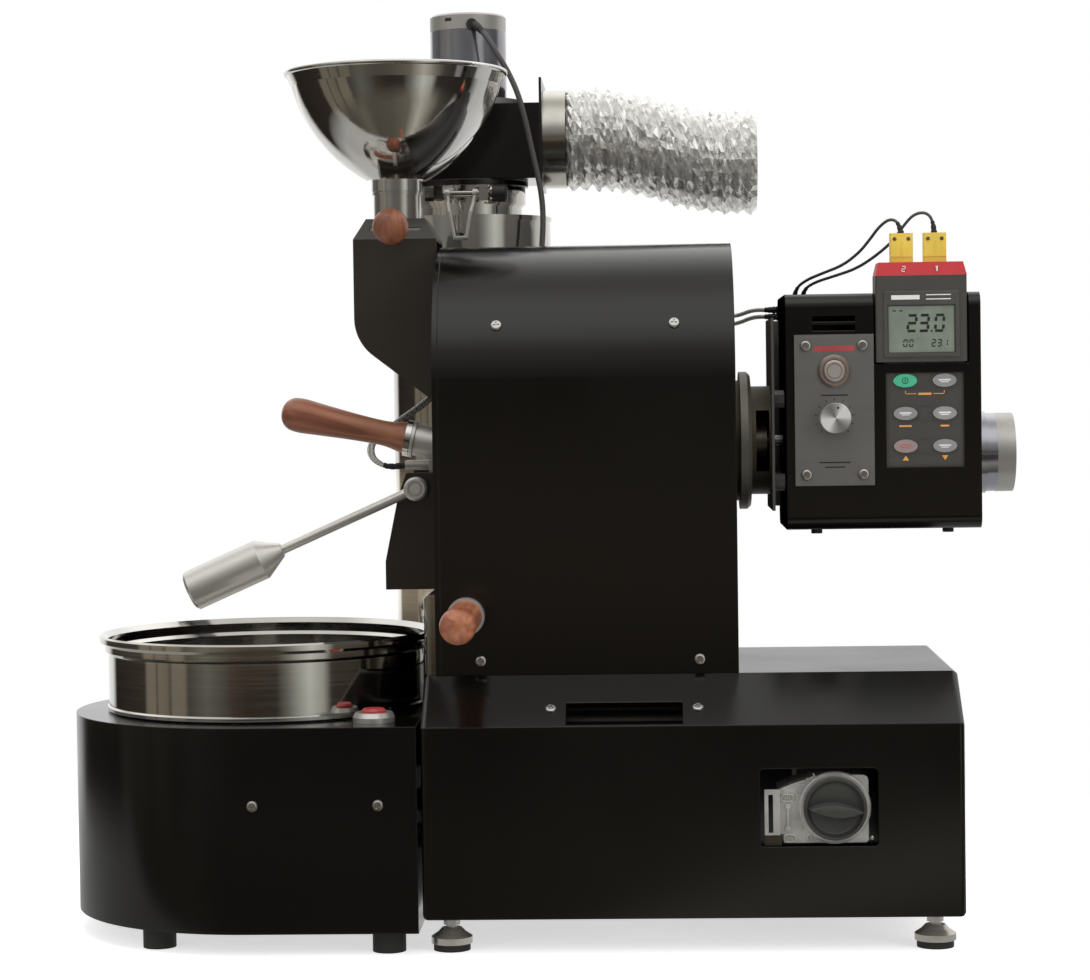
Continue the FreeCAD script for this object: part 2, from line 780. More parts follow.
def make_base():
    """The burner base: one welded casing, open underneath inside its flange."""
    outer = prism(base_outline(0, 0), Vector(BASE_LENGTH, 0, 0))
    ends = [e for e in outer.Edges if abs(e.CenterOfMass.x - BASE_LENGTH / 2) > BASE_LENGTH / 3]
    outer = outer.makeFillet(BASE_ROUND, ends)
    inner = prism(base_outline(WALL, WALL), Vector(BASE_LENGTH - WALL - WALL, 0, 0))
    mouth = block(
        BASE_FLANGE,
        BASE_LENGTH - BASE_FLANGE,
        -BASE_SIDE + BASE_FLANGE,
        BASE_SIDE - BASE_FLANGE,
        BASE_LIFT - OVERRUN,
        BASE_LIFT + WALL + OVERRUN,
    )
    flames = block(
        CASING_START + FLAME_MARGIN,
        CASING_END - FLAME_MARGIN,
        -FLAME_SIDE,
        FLAME_SIDE,
        BASE_TOP - WALL - OVERRUN,
        BASE_TOP + OVERRUN,
    )
    slot_z = BASE_LIFT + FRONT_HEIGHT + SLOT_RISE
    slot = block(
        SLOT_START,
        SLOT_START + SLOT_LENGTH,
        -BASE_SIDE - OVERRUN,
        -BASE_SIDE + BEVEL_RUN,
        slot_z,
        slot_z + SLOT_HEIGHT,
    )
    casing = cut_all(outer, [inner, mouth, flames, slot, valve_window()])
    ledge = block(
        SLOT_START,
        SLOT_START + SLOT_LENGTH,
        -BASE_SIDE + WALL,
        -BASE_SIDE + WALL + LEDGE_DEPTH,
        slot_z - WALL,
        slot_z,
    )
    casing = fused([casing, ledge])
    holes = [screw_hole(place, out) for place, out in BASE_SCREWS]
    for foot in foot_places():
        low = Vector(foot.x, foot.y, BASE_LIFT - OVERRUN)
        high = Vector(foot.x, foot.y, BASE_LIFT + WALL + OVERRUN)
        holes.append(bar(low, high, FOOT_STEM_RADIUS + STEM_CLEARANCE))
    inlet = gas_inlet_line()
    holes.append(bar(inlet[0], inlet[1], PIPE_RADIUS + STEM_CLEARANCE))
    keep("base_casing", cut_all(casing, holes))


def foot_places():
    """Where the four levelling feet stand."""
    return [Vector(x, side * FOOT_SIDE, 0) for x in (FOOT_LEFT, FOOT_RIGHT) for side in (-1, 1)]


def make_feet():
    """Levelling feet with their nuts, and every rubber foot."""
    metal = []
    rubber = []
    rim = FOOT_PAD_HEIGHT + FOOT_RIM_HEIGHT
    dome = FOOT_PAD_HEIGHT + FOOT_DOME_HEIGHT
    for foot in foot_places():
        outline = [
            (0, FOOT_PAD_HEIGHT),
            (FOOT_DOME_RADIUS, FOOT_PAD_HEIGHT),
            (FOOT_DOME_RADIUS, rim),
            (FOOT_DOME_RADIUS - FOOT_RIM_HEIGHT, (rim + dome) / 2),
            (FOOT_NECK_RADIUS, dome),
            (FOOT_STEM_RADIUS, dome),
            (FOOT_STEM_RADIUS, BASE_LIFT + WALL + FOOT_STEM_TOP),
            (0, BASE_LIFT + WALL + FOOT_STEM_TOP),
        ]
        stem = turned(outline, foot, Vector(0, 0, 1))
        up = Vector(0, 0, 1)
        below = hexagon(
            foot + up * (BASE_LIFT - FOOT_NUT_HEIGHT), foot + up * BASE_LIFT, FOOT_NUT_ACROSS
        )
        above = hexagon(
            foot + up * (BASE_LIFT + WALL),
            foot + up * (BASE_LIFT + WALL + FOOT_NUT_HEIGHT),
            FOOT_NUT_ACROSS,
        )
        metal.append(fused([stem, below, above]))
        rubber.append(bar(foot, foot + up * FOOT_PAD_HEIGHT, FOOT_PAD_RADIUS))
    for foot in cooler_foot_places():
        rubber.append(bar(foot, foot + Vector(0, 0, COOLER_LIFT), COOLER_FOOT_RADIUS))
    for x in (BOX_START + BOX_BUMP_INSET, BOX_END - BOX_BUMP_INSET):
        for y in (BOX_FRONT + BOX_BUMP_INSET, -BOX_FRONT - BOX_BUMP_INSET):
            top = Vector(x, y, BOX_BOTTOM)
            rubber.append(bar(top - Vector(0, 0, BOX_BUMP_HEIGHT), top, BOX_BUMP_RADIUS))
    keep("levelling_feet", group(metal))
    keep("rubber_feet", group(rubber))


# Burner, gas pipe and valve
def burner_tubes():
    """Two slotted burner tubes on hangers, with their manifold."""
    z = BASE_TOP - BURNER_DROP
    end = BURNER_START + BURNER_LENGTH
    header = end + MANIFOLD_RADIUS
    solids = []
    for side in (-1, 1):
        left = Vector(BURNER_START, side * BURNER_SPREAD, z)
        solids.append(bar(left, Vector(header, side * BURNER_SPREAD, z), BURNER_TUBE_RADIUS))
    low = Vector(header, -BURNER_SPREAD, z)
    solids.append(bar(low, Vector(header, BURNER_SPREAD, z), MANIFOLD_RADIUS))
    for x in (BURNER_START + HANGER_THICK, end - BURNER_TUBE_RADIUS):
        side = FLAME_SIDE + BASE_ROUND
        hanger = block(x, x + HANGER_THICK, -side, side, z, BASE_TOP - WALL)
        flame_gap = block(
            x - OVERRUN,
            x + HANGER_THICK + OVERRUN,
            -FLAME_SIDE + BURNER_TUBE_RADIUS,
            FLAME_SIDE - BURNER_TUBE_RADIUS,
            z + BURNER_TUBE_RADIUS,
            BASE_TOP,
        )
        solids.append(hanger.cut(flame_gap))
    whole = fused(solids)
    inner = BURNER_TUBE_RADIUS - BURNER_TUBE_WALL
    tools = []
    for side in (-1, 1):
        left = Vector(BURNER_START + BURNER_TUBE_WALL, side * BURNER_SPREAD, z)
        tools.append(bar(left, Vector(header, side * BURNER_SPREAD, z), inner))
        for step in range(BURNER_SLOTS):
            x = BURNER_START + BURNER_LENGTH * (step + 1) / (BURNER_SLOTS + 1)
            tools.append(
                block(
                    x,
                    x + BURNER_SLOT_WIDTH,
                    side * BURNER_SPREAD - BURNER_SLOT_LENGTH,
                    side * BURNER_SPREAD + BURNER_SLOT_LENGTH,
                    z,
                    z + BURNER_TUBE_RADIUS + OVERRUN,
                )
            )
    bore = MANIFOLD_RADIUS - BURNER_TUBE_WALL
    tools.append(bar(low, Vector(header, BURNER_SPREAD, z), bore))
    return cut_all(whole, tools)


def valve_back():
    """The depth of the valve block's back face."""
    return -BASE_SIDE + VALVE_BLOCK_BACKSET + VALVE_BLOCK_DEPTH


def gas_inlet_line():
    """The straight supply pipe, from outside the base's back wall to the valve."""
    x = VALVE_START + INLET_OFFSET
    z = BASE_LIFT + VALVE_LIFT
    return Vector(x, BASE_SIDE + INLET_REACH, z), Vector(x, valve_back(), z)


def make_burner():
    """The burner with its feed pipe, and the supply pipe from the back."""
    start, end = gas_inlet_line()
    collar = bar(
        Vector(start.x, BASE_SIDE, start.z),
        Vector(start.x, BASE_SIDE + INLET_COLLAR_THICK, start.z),
        INLET_COLLAR_RADIUS,
    )
    supply = fused([bar(start, end, PIPE_RADIUS), collar])
    header_z = BASE_TOP - BURNER_DROP
    header_x = BURNER_START + BURNER_LENGTH + MANIFOLD_RADIUS + MANIFOLD_RADIUS
    turn_x = VALVE_START - INLET_OFFSET
    corners = [
        Vector(header_x, 0, header_z),
        Vector(turn_x, 0, header_z),
        Vector(turn_x, 0, BASE_LIFT + VALVE_LIFT),
        Vector(turn_x, valve_back(), BASE_LIFT + VALVE_LIFT),
    ]
    runs = [bar(a, b, PIPE_RADIUS) for a, b in zip(corners, corners[1:])]
    elbows = [Part.makeSphere(PIPE_RADIUS, corner) for corner in corners[1:3]]
    feed = fused(runs + elbows)
    keep("burner", group([burner_tubes(), feed, supply]))


def make_valve():
    """The gas valve's cast body with its strap, and its knob."""
    z = BASE_LIFT + VALVE_LIFT
    face = -BASE_SIDE + VALVE_BLOCK_BACKSET
    body = block(
        VALVE_START - VALVE_BLOCK_LEFT,
        VALVE_START + VALVE_BLOCK_RIGHT,
        face,
        valve_back(),
        z - VALVE_BLOCK_HALF,
        z + VALVE_BLOCK_HALF,
    )
    body = softened(body, WINDOW_ROUND, Vector(0, 1, 0))
    boss = bar(
        Vector(VALVE_START, face - VALVE_BOSS_HEIGHT, z),
        Vector(VALVE_START, face, z),
        VALVE_BOSS_RADIUS,
    )
    strap_left = VALVE_START - WINDOW_LEFT - VALVE_STRAP_WIDTH / 3
    strap = block(
        strap_left,
        strap_left + VALVE_STRAP_WIDTH,
        -BASE_SIDE + WALL,
        face + WALL,
        z - VALVE_STRAP_HALF,
        z + VALVE_STRAP_HALF,
    )
    hollow = block(
        strap_left - OVERRUN,
        VALVE_START - VALVE_BLOCK_LEFT - OVERRUN,
        -BASE_SIDE + WALL + WALL,
        face + WALL + OVERRUN,
        z - VALVE_STRAP_HALF - OVERRUN,
        z + VALVE_STRAP_HALF + OVERRUN,
    )
    slot_x = VALVE_START - WINDOW_LEFT + VALVE_STRAP_SLOT
    slot = block(
        slot_x,
        slot_x + VALVE_STRAP_SLOT,
        -BASE_SIDE - OVERRUN,
        face,
        z - VALVE_BLOCK_HALF + VALVE_STRAP_SLOT,
        z + VALVE_BLOCK_HALF - VALVE_STRAP_SLOT,
    )
    strap = strap.cut(hollow).cut(slot)
    bore = bar(
        Vector(VALVE_START, face - VALVE_BOSS_HEIGHT - OVERRUN, z),
        Vector(VALVE_START, face + VALVE_BLOCK_DEPTH / 2, z),
        VALVE_STEM_RADIUS + RUNNING_GAP,
    )
    keep("gas_valve_body", fused([body, boss, strap]).cut(bore))

    back = face - VALVE_BOSS_HEIGHT - GAP
    front = back - VALVE_KNOB_DEPTH
    disc = bar(Vector(VALVE_START, front, z), Vector(VALVE_START, back, z), VALVE_KNOB_RADIUS)
    half = VALVE_KNOB_RADIUS * VALVE_GRIP_SHARE
    grip = block(
        VALVE_START - half,
        VALVE_START + half,
        front - VALVE_GRIP_HEIGHT,
        front,
        z - VALVE_GRIP_WIDTH / 2,
        z + VALVE_GRIP_WIDTH / 2,
    )
    grip = softened(grip, VALVE_GRIP_WIDTH / 3, Vector(0, 1, 0))
    stem = bar(
        Vector(VALVE_START, back, z),
        Vector(VALVE_START, face + VALVE_BLOCK_DEPTH / 3, z),
        VALVE_STEM_RADIUS,
    )
    keep("gas_valve_knob", fused([disc, grip, stem]))


# Drum casing
def arch_outline(inset, x, foot):
    """The casing's section: straight sides under a half circle."""
    side = CASING_SIDE - inset
    left = Vector(x, -side, SPRING)
    right = Vector(x, side, SPRING)
    crown = Part.Arc(left, Vector(x, 0, SPRING + side), right).toShape()
    edges = [
        crown,
        Part.makeLine(right, Vector(x, side, foot)),
        Part.makeLine(Vector(x, side, foot), Vector(x, -side, foot)),
        Part.makeLine(Vector(x, -side, foot), left),
    ]
    return Part.Face(Part.Wire(edges))


def damper_places():
    """X and Z of the damper rod."""
    return CASING_START + DAMPER_OFFSET, BASE_TOP + DAMPER_LIFT


def make_casing():
    """The drum casing: the arched wrap with its rear wall, feet and damper rails."""
    outer = arch_outline(0, CASING_START, BASE_TOP).extrude(Vector(CASING_LENGTH, 0, 0))
    inner = arch_outline(WALL, CASING_START - OVERRUN, BASE_TOP - OVERRUN)
    inner = inner.extrude(Vector(CASING_LENGTH + OVERRUN - REAR_WALL, 0, 0))
    parts = [outer.cut(inner)]
    for side in (-1, 1):
        near = sorted((side * (CASING_SIDE - WALL), side * (CASING_SIDE - CASING_FOOT)))
        parts.append(block(CASING_START, CASING_END, near[0], near[1], BASE_TOP, BASE_TOP + WALL))
    rod_x, rod_z = damper_places()
    rail_top = rod_z - DAMPER_THICK / 2 - GAP
    left = CASING_START + DAMPER_INSET
    for rail in (left, left + DAMPER_WIDTH - RAIL_WIDTH):
        reach = CASING_SIDE - WALL / 2
        parts.append(
            block(
                rail,
                rail + RAIL_WIDTH,
                -reach,
                reach,
                rail_top - RAIL_HEIGHT,
                rail_top,
            )
        )
    boss_in = -CASING_SIDE + WALL + OVERRUN
    parts.append(
        bar(
            Vector(rod_x, -CASING_SIDE + WALL, rod_z),
            Vector(rod_x, boss_in, rod_z),
            DAMPER_BOSS_RADIUS,
        )
    )
    casing = fused(parts)
    nose = HOUSING_NOSE_RADIUS + GAP
    tools = [
        bar(
            Vector(rod_x, -CASING_SIDE - OVERRUN, rod_z),
            Vector(rod_x, boss_in + OVERRUN, rod_z),
            DAMPER_ROD_RADIUS + RUNNING_GAP,
        ),
        bar(Vector(CASING_END - OVERRUN, 0, DRUM_Z), Vector(CASING_END + OVERRUN, 0, DRUM_Z), nose),
        bar(
            Vector(CAN_START, CASING_SIDE - OVERRUN, BASE_TOP + SPIGOT_TUBE_LIFT),
            Vector(CAN_START, CASING_SIDE + OVERRUN, BASE_TOP + SPIGOT_TUBE_LIFT),
            SPIGOT_TUBE_RADIUS - CAN_WALL,
        ),
    ]
    tools += [screw_hole(place, out) for place, out in casing_screws()]
    keep("drum_casing", cut_all(casing, tools))


def make_front_plate():
    """The front plate, with its feed, discharge, sampler and probe openings."""
    plate = arch_outline(0, PLATE_FACE, BASE_TOP).extrude(Vector(FRONT_PLATE, 0, 0))
    x0 = PLATE_FACE - OVERRUN
    x1 = CASING_START + OVERRUN
    foot = BASE_TOP + CHUTE_FOOT
    tools = [
        block(x0, x1, -FEED_SIDE, FEED_SIDE, foot + FEED_LOW, foot + FEED_HIGH),
        block(x0, x1, -DOOR_SIDE, DOOR_SIDE, BASE_TOP + DOOR_LOW, BASE_TOP + DOOR_HIGH),
        bar(
            sampler_point(-GUIDE_LENGTH),
            sampler_point(GUIDE_LENGTH),
            SAMPLER_RADIUS + RUNNING_GAP,
        ),
    ]
    for place in probe_places():
        tools.append(
            bar(
                place - Vector(OVERRUN, 0, 0),
                place + Vector(FRONT_PLATE + OVERRUN, 0, 0),
                PROBE_TIP_RADIUS + SCREW_HOLE_GAP,
            )
        )
    keep("front_plate", cut_all(plate, tools))


def make_skirt():
    """The polished cover on the front plate under the discharge chute."""
    skirt = block(
        PLATE_FACE - SKIRT_THICK,
        PLATE_FACE,
        -SKIRT_SIDE,
        SKIRT_SIDE,
        BASE_TOP,
        BASE_TOP + SKIRT_HEIGHT,
    )
    outer = PLATE_FACE - SKIRT_THICK
    edges = []
    for edge in skirt.Edges:
        middle = edge.CenterOfMass
        on_outer = abs(middle.x - outer) < GAP
        if on_outer and middle.z > BASE_TOP + GAP:
            edges.append(edge)
    skirt = skirt.makeFillet(SKIRT_ROUND, edges)
    hollow = block(
        PLATE_FACE - SKIRT_THICK + SKIRT_ROUND,
        PLATE_FACE + OVERRUN,
        -SKIRT_SIDE + SKIRT_ROUND,
        SKIRT_SIDE - SKIRT_ROUND,
        BASE_TOP - OVERRUN,
        BASE_TOP + SKIRT_HEIGHT - SKIRT_ROUND,
    )
    keep("front_skirt", skirt.cut(hollow))


# Drum, bearings and bearing housing
def make_drum():
    """The drum: shell, front lip, vanes, spider and shaft, welded together."""
    axis = Vector(1, 0, 0)
    inner = DRUM_RADIUS - DRUM_WALL
    housing_start = CASING_END - HOUSING_NOSE_LENGTH
    coupling = NECK_START + COUPLING_START
    shell = turned(
        [
            (DRUM_RADIUS - DRUM_LIP, 0),
            (DRUM_RADIUS, 0),
            (DRUM_RADIUS, DRUM_LENGTH),
            (SHAFT_HUB_RADIUS, DRUM_LENGTH),
            (SHAFT_HUB_RADIUS, DRUM_LENGTH - SPIDER_THICK),
            (inner, DRUM_LENGTH - SPIDER_THICK),
            (inner, DRUM_WALL),
            (DRUM_RADIUS - DRUM_LIP, DRUM_WALL),
        ],
        Vector(DRUM_START, 0, DRUM_Z),
        axis,
    )
    hub_end = housing_start - GAP - GAP
    shaft = turned(
        [
            (0, DRUM_END - SHAFT_HUB_LENGTH),
            (SHAFT_HUB_RADIUS, DRUM_END - SHAFT_HUB_LENGTH),
            (SHAFT_HUB_RADIUS, hub_end),
            (SHAFT_RADIUS, hub_end),
            (SHAFT_RADIUS, coupling),
            (COUPLING_RADIUS, coupling),
            (COUPLING_RADIUS, coupling + COUPLING_LENGTH),
            (MOTOR_SHAFT_RADIUS + RUNNING_GAP, coupling + COUPLING_LENGTH),
            (MOTOR_SHAFT_RADIUS + RUNNING_GAP, coupling),
            (0, coupling),
        ],
        Vector(0, 0, DRUM_Z),
        axis,
    )
    holes = []
    for step in range(SPIDER_HOLES):
        turn = math.radians(step * FULL_TURN / SPIDER_HOLES)
        y = SPIDER_HOLE_RING * math.cos(turn)
        z = DRUM_Z + SPIDER_HOLE_RING * math.sin(turn)
        start = Vector(DRUM_END - OVERRUN, y, z)
        holes.append(bar(start, Vector(DRUM_END + OVERRUN, y, z), SPIDER_HOLE_RADIUS))
    shell = cut_all(shell, holes)
    vanes = []
    for step in range(VANE_COUNT):
        vane = block(
            DRUM_START + DRUM_WALL,
            DRUM_END - SPIDER_THICK,
            -VANE_THICK / 2,
            VANE_THICK / 2,
            DRUM_Z - inner - DRUM_WALL / 2,
            DRUM_Z - inner + VANE_HEIGHT,
        )
        vane.rotate(Vector(0, 0, DRUM_Z), axis, (step + 0.5) * FULL_TURN / VANE_COUNT)
        vanes.append(vane)
    keep("drum", fused([shell, shaft] + vanes))


def make_bearing_housing():
    """The cast housing that carries the drum shaft behind the casing."""
    housing_start = CASING_END - HOUSING_NOSE_LENGTH
    seat_one = housing_start + WALL
    outline = [
        (SHAFT_RADIUS + WALL, housing_start),
        (HOUSING_NOSE_RADIUS, housing_start),
        (HOUSING_NOSE_RADIUS, CASING_END),
        (HOUSING_PAD_RADIUS, CASING_END),
        (HOUSING_PAD_RADIUS, FLANGE_START),
        (FLANGE_RADIUS, FLANGE_START),
        (FLANGE_RADIUS, NECK_START - FLANGE_ROUND),
        (FLANGE_RADIUS - FLANGE_ROUND, NECK_START),
        (NECK_RADIUS, NECK_START),
        (NECK_RADIUS, NECK_END),
        (NECK_RADIUS - NECK_WALL, NECK_END),
        (NECK_RADIUS - NECK_WALL, NECK_START),
        (BEARING_RADIUS, NECK_START),
        (BEARING_RADIUS, seat_one),
        (SHAFT_RADIUS + WALL, seat_one),
    ]
    housing = turned(outline, Vector(0, 0, DRUM_Z), Vector(1, 0, 0))
    x0 = NECK_END - NECK_WINDOW_LENGTH
    x1 = NECK_END - WALL
    half = NECK_WINDOW / 2
    reach = NECK_RADIUS + OVERRUN
    window = block(x0, x1, -reach, 0, DRUM_Z - half, DRUM_Z + half)
    tools = [window]
    for place, out in bracket_screws():
        tools.append(screw_hole(place, out, SMALL_SCREW_SHARE))
    keep("bearing_housing", cut_all(housing, tools))
    rings = []
    for start in (seat_one, NECK_START - BEARING_WIDTH):
        rings.append(
            pipe(
                Vector(start, 0, DRUM_Z),
                Vector(start + BEARING_WIDTH, 0, DRUM_Z),
                BEARING_RADIUS,
                SHAFT_RADIUS + BEARING_BORE_GAP,
            )
        )
    keep("shaft_bearings", group(rings))


# Heat damper
def wooden_handle(root, away):
    """The turned wooden handle, from its root outwards along a direction."""
    points = [Vector(radius, 0, share * HANDLE_LENGTH) for share, radius in HANDLE_PROFILE]
    tip = Vector(0, 0, HANDLE_LENGTH)
    skin = Part.BSplineCurve()
    skin.interpolate(points)
    crown = Part.BSplineCurve()
    crown.interpolate([points[-1], Vector(HANDLE_CROWN_RADIUS, 0, HANDLE_CROWN_SHARE * HANDLE_LENGTH), tip])
    edges = [
        skin.toShape(),
        crown.toShape(),
        Part.makeLine(tip, Vector(0, 0, 0)),
        Part.makeLine(Vector(0, 0, 0), points[0]),
    ]
    face = Part.Face(Part.Wire(edges))
    solid = face.revolve(Vector(0, 0, 0), Vector(0, 0, 1), FULL_TURN)
    solid.Placement = FreeCAD.Placement(root, FreeCAD.Rotation(Vector(0, 0, 1), away))
    return solid


def make_damper():
    """The heat damper: a sliding blade on a rod with a wooden handle."""
    x, z = damper_places()
    front = -CASING_SIDE + WALL + OVERRUN + DAMPER_TRAVEL + GAP
    left = CASING_START + DAMPER_INSET
    blade = block(
        left,
        left + DAMPER_WIDTH,
        front,
        front + DAMPER_LENGTH,
        z - DAMPER_THICK / 2,
        z + DAMPER_THICK / 2,
    )
    outside = -CASING_SIDE - GAP
    root = outside - FERRULE_THICK - FERRULE_THICK
    rod = bar(Vector(x, front + OVERRUN, z), Vector(x, root, z), DAMPER_ROD_RADIUS)
    ferrule = bar(Vector(x, outside, z), Vector(x, root, z), FERRULE_RADIUS)
    keep("damper_blade", fused([blade, rod, ferrule]))
    keep("damper_handle", wooden_handle(Vector(x, root, z), Vector(0, -1, 0)))


# Upper chute with its cap and neck, the gate and the hopper
def chute_outline(inset, y, open_side):
    """The chute's side outline: upright, then a bend into a slope down to the front plate."""
    left = PLATE_FACE - CHUTE_REACH + inset
    right = PLATE_FACE + open_side
    top = CAP_Z
    slope = math.radians(CHUTE_SLOPE)
    radius = CHUTE_BEND_RADIUS - inset
    turn = math.radians(QUARTER_TURN) - slope
    end_x = left + radius * (1 - math.cos(turn))
    foot = BASE_TOP + CHUTE_FOOT + inset / math.cos(slope)
    end_z = foot + (PLATE_FACE - end_x) * math.tan(slope)
    start_z = end_z + radius * math.sin(turn)
    half = turn / 2
    middle = Vector(left + radius * (1 - math.cos(half)), y, start_z - radius * math.sin(half))
    start = Vector(left, y, start_z)
    end = Vector(end_x, y, end_z)
    low = Vector(right, y, end_z - (right - end_x) * math.tan(slope))
    edges = [
        Part.makeLine(Vector(left, y, top), start),
        Part.Arc(start, middle, end).toShape(),
        Part.makeLine(end, low),
        Part.makeLine(low, Vector(right, y, top)),
        Part.makeLine(Vector(right, y, top), Vector(left, y, top)),
    ]
    return Part.Face(Part.Wire(edges))


def make_upper_chute():
    """The bean chute on the front plate, with the cap that holds the gate and the neck."""
    side = CHUTE_DEPTH / 2
    outer = chute_outline(0, -side, 0).extrude(Vector(0, CHUTE_DEPTH, 0))
    inner_side = side - CHUTE_SHEET
    inner = chute_outline(CHUTE_SHEET, -inner_side, OVERRUN)
    inner = inner.extrude(Vector(0, inner_side + inner_side, 0))
    inner = inner.common(
        block(
            PLATE_FACE - CHUTE_REACH,
            PLATE_FACE + OVERRUN,
            -side,
            side,
            BASE_TOP,
            CAP_Z - CHUTE_SHEET,
        )
    )
    half = CHUTE_REACH / 2
    top = CAP_TOP / 2
    low_wire = Part.makePolygon(
        [
            Vector(HOPPER_X - half, -side, CAP_Z),
            Vector(HOPPER_X + half, -side, CAP_Z),
            Vector(HOPPER_X + half, side, CAP_Z),
            Vector(HOPPER_X - half, side, CAP_Z),
            Vector(HOPPER_X - half, -side, CAP_Z),
        ]
    )
    high_wire = Part.makePolygon(
        [
            Vector(HOPPER_X - top, -top, NECK_Z),
            Vector(HOPPER_X + top, -top, NECK_Z),
            Vector(HOPPER_X + top, top, NECK_Z),
            Vector(HOPPER_X - top, top, NECK_Z),
            Vector(HOPPER_X - top, -top, NECK_Z),
        ]
    )
    cap = Part.makeLoft([low_wire, high_wire], True, True)
    neck = turned(
        [
            (NECK_BORE, 0),
            (NECK_TUBE, 0),
            (NECK_TUBE, NECK_HEIGHT),
            (NECK_LIP, NECK_HEIGHT),
            (NECK_LIP, NECK_HEIGHT + NECK_LIP_HEIGHT),
            (NECK_BORE, NECK_HEIGHT + NECK_LIP_HEIGHT),
        ],
        Vector(HOPPER_X, 0, NECK_Z),
        Vector(0, 0, 1),
    )
    body = fused([outer.cut(inner), cap, neck])
    bore = bar(
        Vector(HOPPER_X, 0, CAP_Z - CHUTE_SHEET - OVERRUN),
        Vector(HOPPER_X, 0, NECK_Z + OVERRUN),
        NECK_BORE,
    )
    slot = block(
        HOPPER_X - GATE_WIDTH / 2 - GAP,
        HOPPER_X + GATE_WIDTH / 2 + GAP,
        -side - OVERRUN,
        GATE_LENGTH / 2 + GAP - GATE_THICK,
        GATE_Z - GATE_THICK / 2 - GAP,
        GATE_Z + GATE_THICK / 2 + GAP,
    )
    keep("upper_chute", cut_all(body, [bore, slot]))


def make_gate():
    """The bean gate: a blade under the hopper neck, pulled by a wooden ball."""
    back = GATE_LENGTH / 2 - GATE_THICK
    blade = block(
        HOPPER_X - GATE_WIDTH / 2,
        HOPPER_X + GATE_WIDTH / 2,
        back - GATE_LENGTH,
        back,
        GATE_Z - GATE_THICK / 2,
        GATE_Z + GATE_THICK / 2,
    )
    ball = Vector(HOPPER_X, -GATE_BALL_REACH, GATE_Z)
    rod_start = Vector(HOPPER_X, -CHUTE_DEPTH / 2 - GAP, GATE_Z)
    seat = math.sqrt(GATE_BALL_RADIUS**2 - GATE_ROD_RADIUS**2)
    rod = bar(rod_start, ball + Vector(0, seat, 0), GATE_ROD_RADIUS)
    tongue = block(
        HOPPER_X - GATE_ROD_RADIUS,
        HOPPER_X + GATE_ROD_RADIUS,
        -CHUTE_DEPTH / 2 - GATE_THICK,
        back - GATE_LENGTH + GATE_THICK,
        GATE_Z - GATE_THICK / 2,
        GATE_Z + GATE_THICK / 2,
    )
    keep("gate_slide", fused([blade, tongue, rod]))
    sphere = Part.makeSphere(GATE_BALL_RADIUS, ball)
    flat = bar(ball + Vector(0, seat, 0), ball + Vector(0, GATE_BALL_RADIUS + OVERRUN, 0), GATE_BALL_RADIUS)
    keep("gate_knob", sphere.cut(flat))


def bowl_edges(inset):
    """The bowl's curve, from the waist to the lip, drawn at a distance inside the outer skin."""
    z = COLLAR_Z + COLLAR_HEIGHT
    waist = Vector(BOWL_WAIST - inset, 0, z)
    middle = Vector(BOWL_MIDDLE_RADIUS - inset, 0, z + BOWL_HEIGHT * BOWL_MIDDLE_SHARE + inset / 2)
    shoulder = Vector(BOWL_SHOULDER_RADIUS - inset, 0, z + BOWL_HEIGHT * BOWL_LIP_SHARE)
    lip = Vector(BOWL_RIM_RADIUS - inset, 0, z + BOWL_HEIGHT)
    return waist, middle, shoulder, lip


def make_hopper():
    """The hopper bowl with its rolled rim, collar and spigot."""
    o_waist, o_middle, o_shoulder, o_lip = bowl_edges(0)
    i_waist, i_middle, i_shoulder, i_lip = bowl_edges(BOWL_WALL)
    spigot_low = COLLAR_Z - SPIGOT_DEPTH
    spigot_inner = SPIGOT_RADIUS - SPIGOT_WALL
    chain = [
        o_waist,
        Vector(COLLAR_RADIUS, 0, o_waist.z),
        Vector(COLLAR_RADIUS, 0, COLLAR_Z),
        Vector(SPIGOT_RADIUS, 0, COLLAR_Z),
        Vector(SPIGOT_RADIUS, 0, spigot_low),
        Vector(spigot_inner, 0, spigot_low),
        Vector(spigot_inner, 0, i_waist.z + BOWL_WALL),
        i_waist + Vector(0, 0, BOWL_WALL),
    ]
    edges = [
        Part.Arc(o_waist, o_middle, o_shoulder).toShape(),
        Part.makeLine(o_shoulder, o_lip),
        Part.makeLine(o_lip, i_lip),
        Part.makeLine(i_lip, i_shoulder),
        Part.Arc(i_shoulder, i_middle, chain[-1]).toShape(),
    ]
    edges += [Part.makeLine(a, b) for a, b in zip(chain, chain[1:])]
    face = Part.Face(Part.Wire(Part.sortEdges(edges)[0]))
    bowl = face.revolve(Vector(0, 0, 0), Vector(0, 0, 1), FULL_TURN)
    bead = Part.makeTorus(o_lip.x - BOWL_WALL / 2, BOWL_RIM_BEAD, Vector(0, 0, o_lip.z))
    bowl = fused([bowl, bead])
    bowl.translate(Vector(HOPPER_X, 0, 0))
    keep("hopper_bowl", bowl)


# Discharge chute, door and weighted lever
def discharge_outline(y, inset):
    """The cheek's outline seen from the side."""
    face = PLATE_FACE
    foot = BASE_TOP + DISCHARGE_FOOT
    return [
        Vector(face, y, foot),
        Vector(face - DISCHARGE_REACH + inset, y, foot),
        Vector(face - DISCHARGE_REACH + inset, y, foot + DISCHARGE_STRAIGHT),
        Vector(face - DISCHARGE_UPPER_REACH + inset, y, BASE_TOP + DISCHARGE_SHOULDER),
        Vector(face - DISCHARGE_TOP_REACH + inset, y, BASE_TOP + DISCHARGE_TOP),
        Vector(face, y, BASE_TOP + DISCHARGE_TOP),
    ]


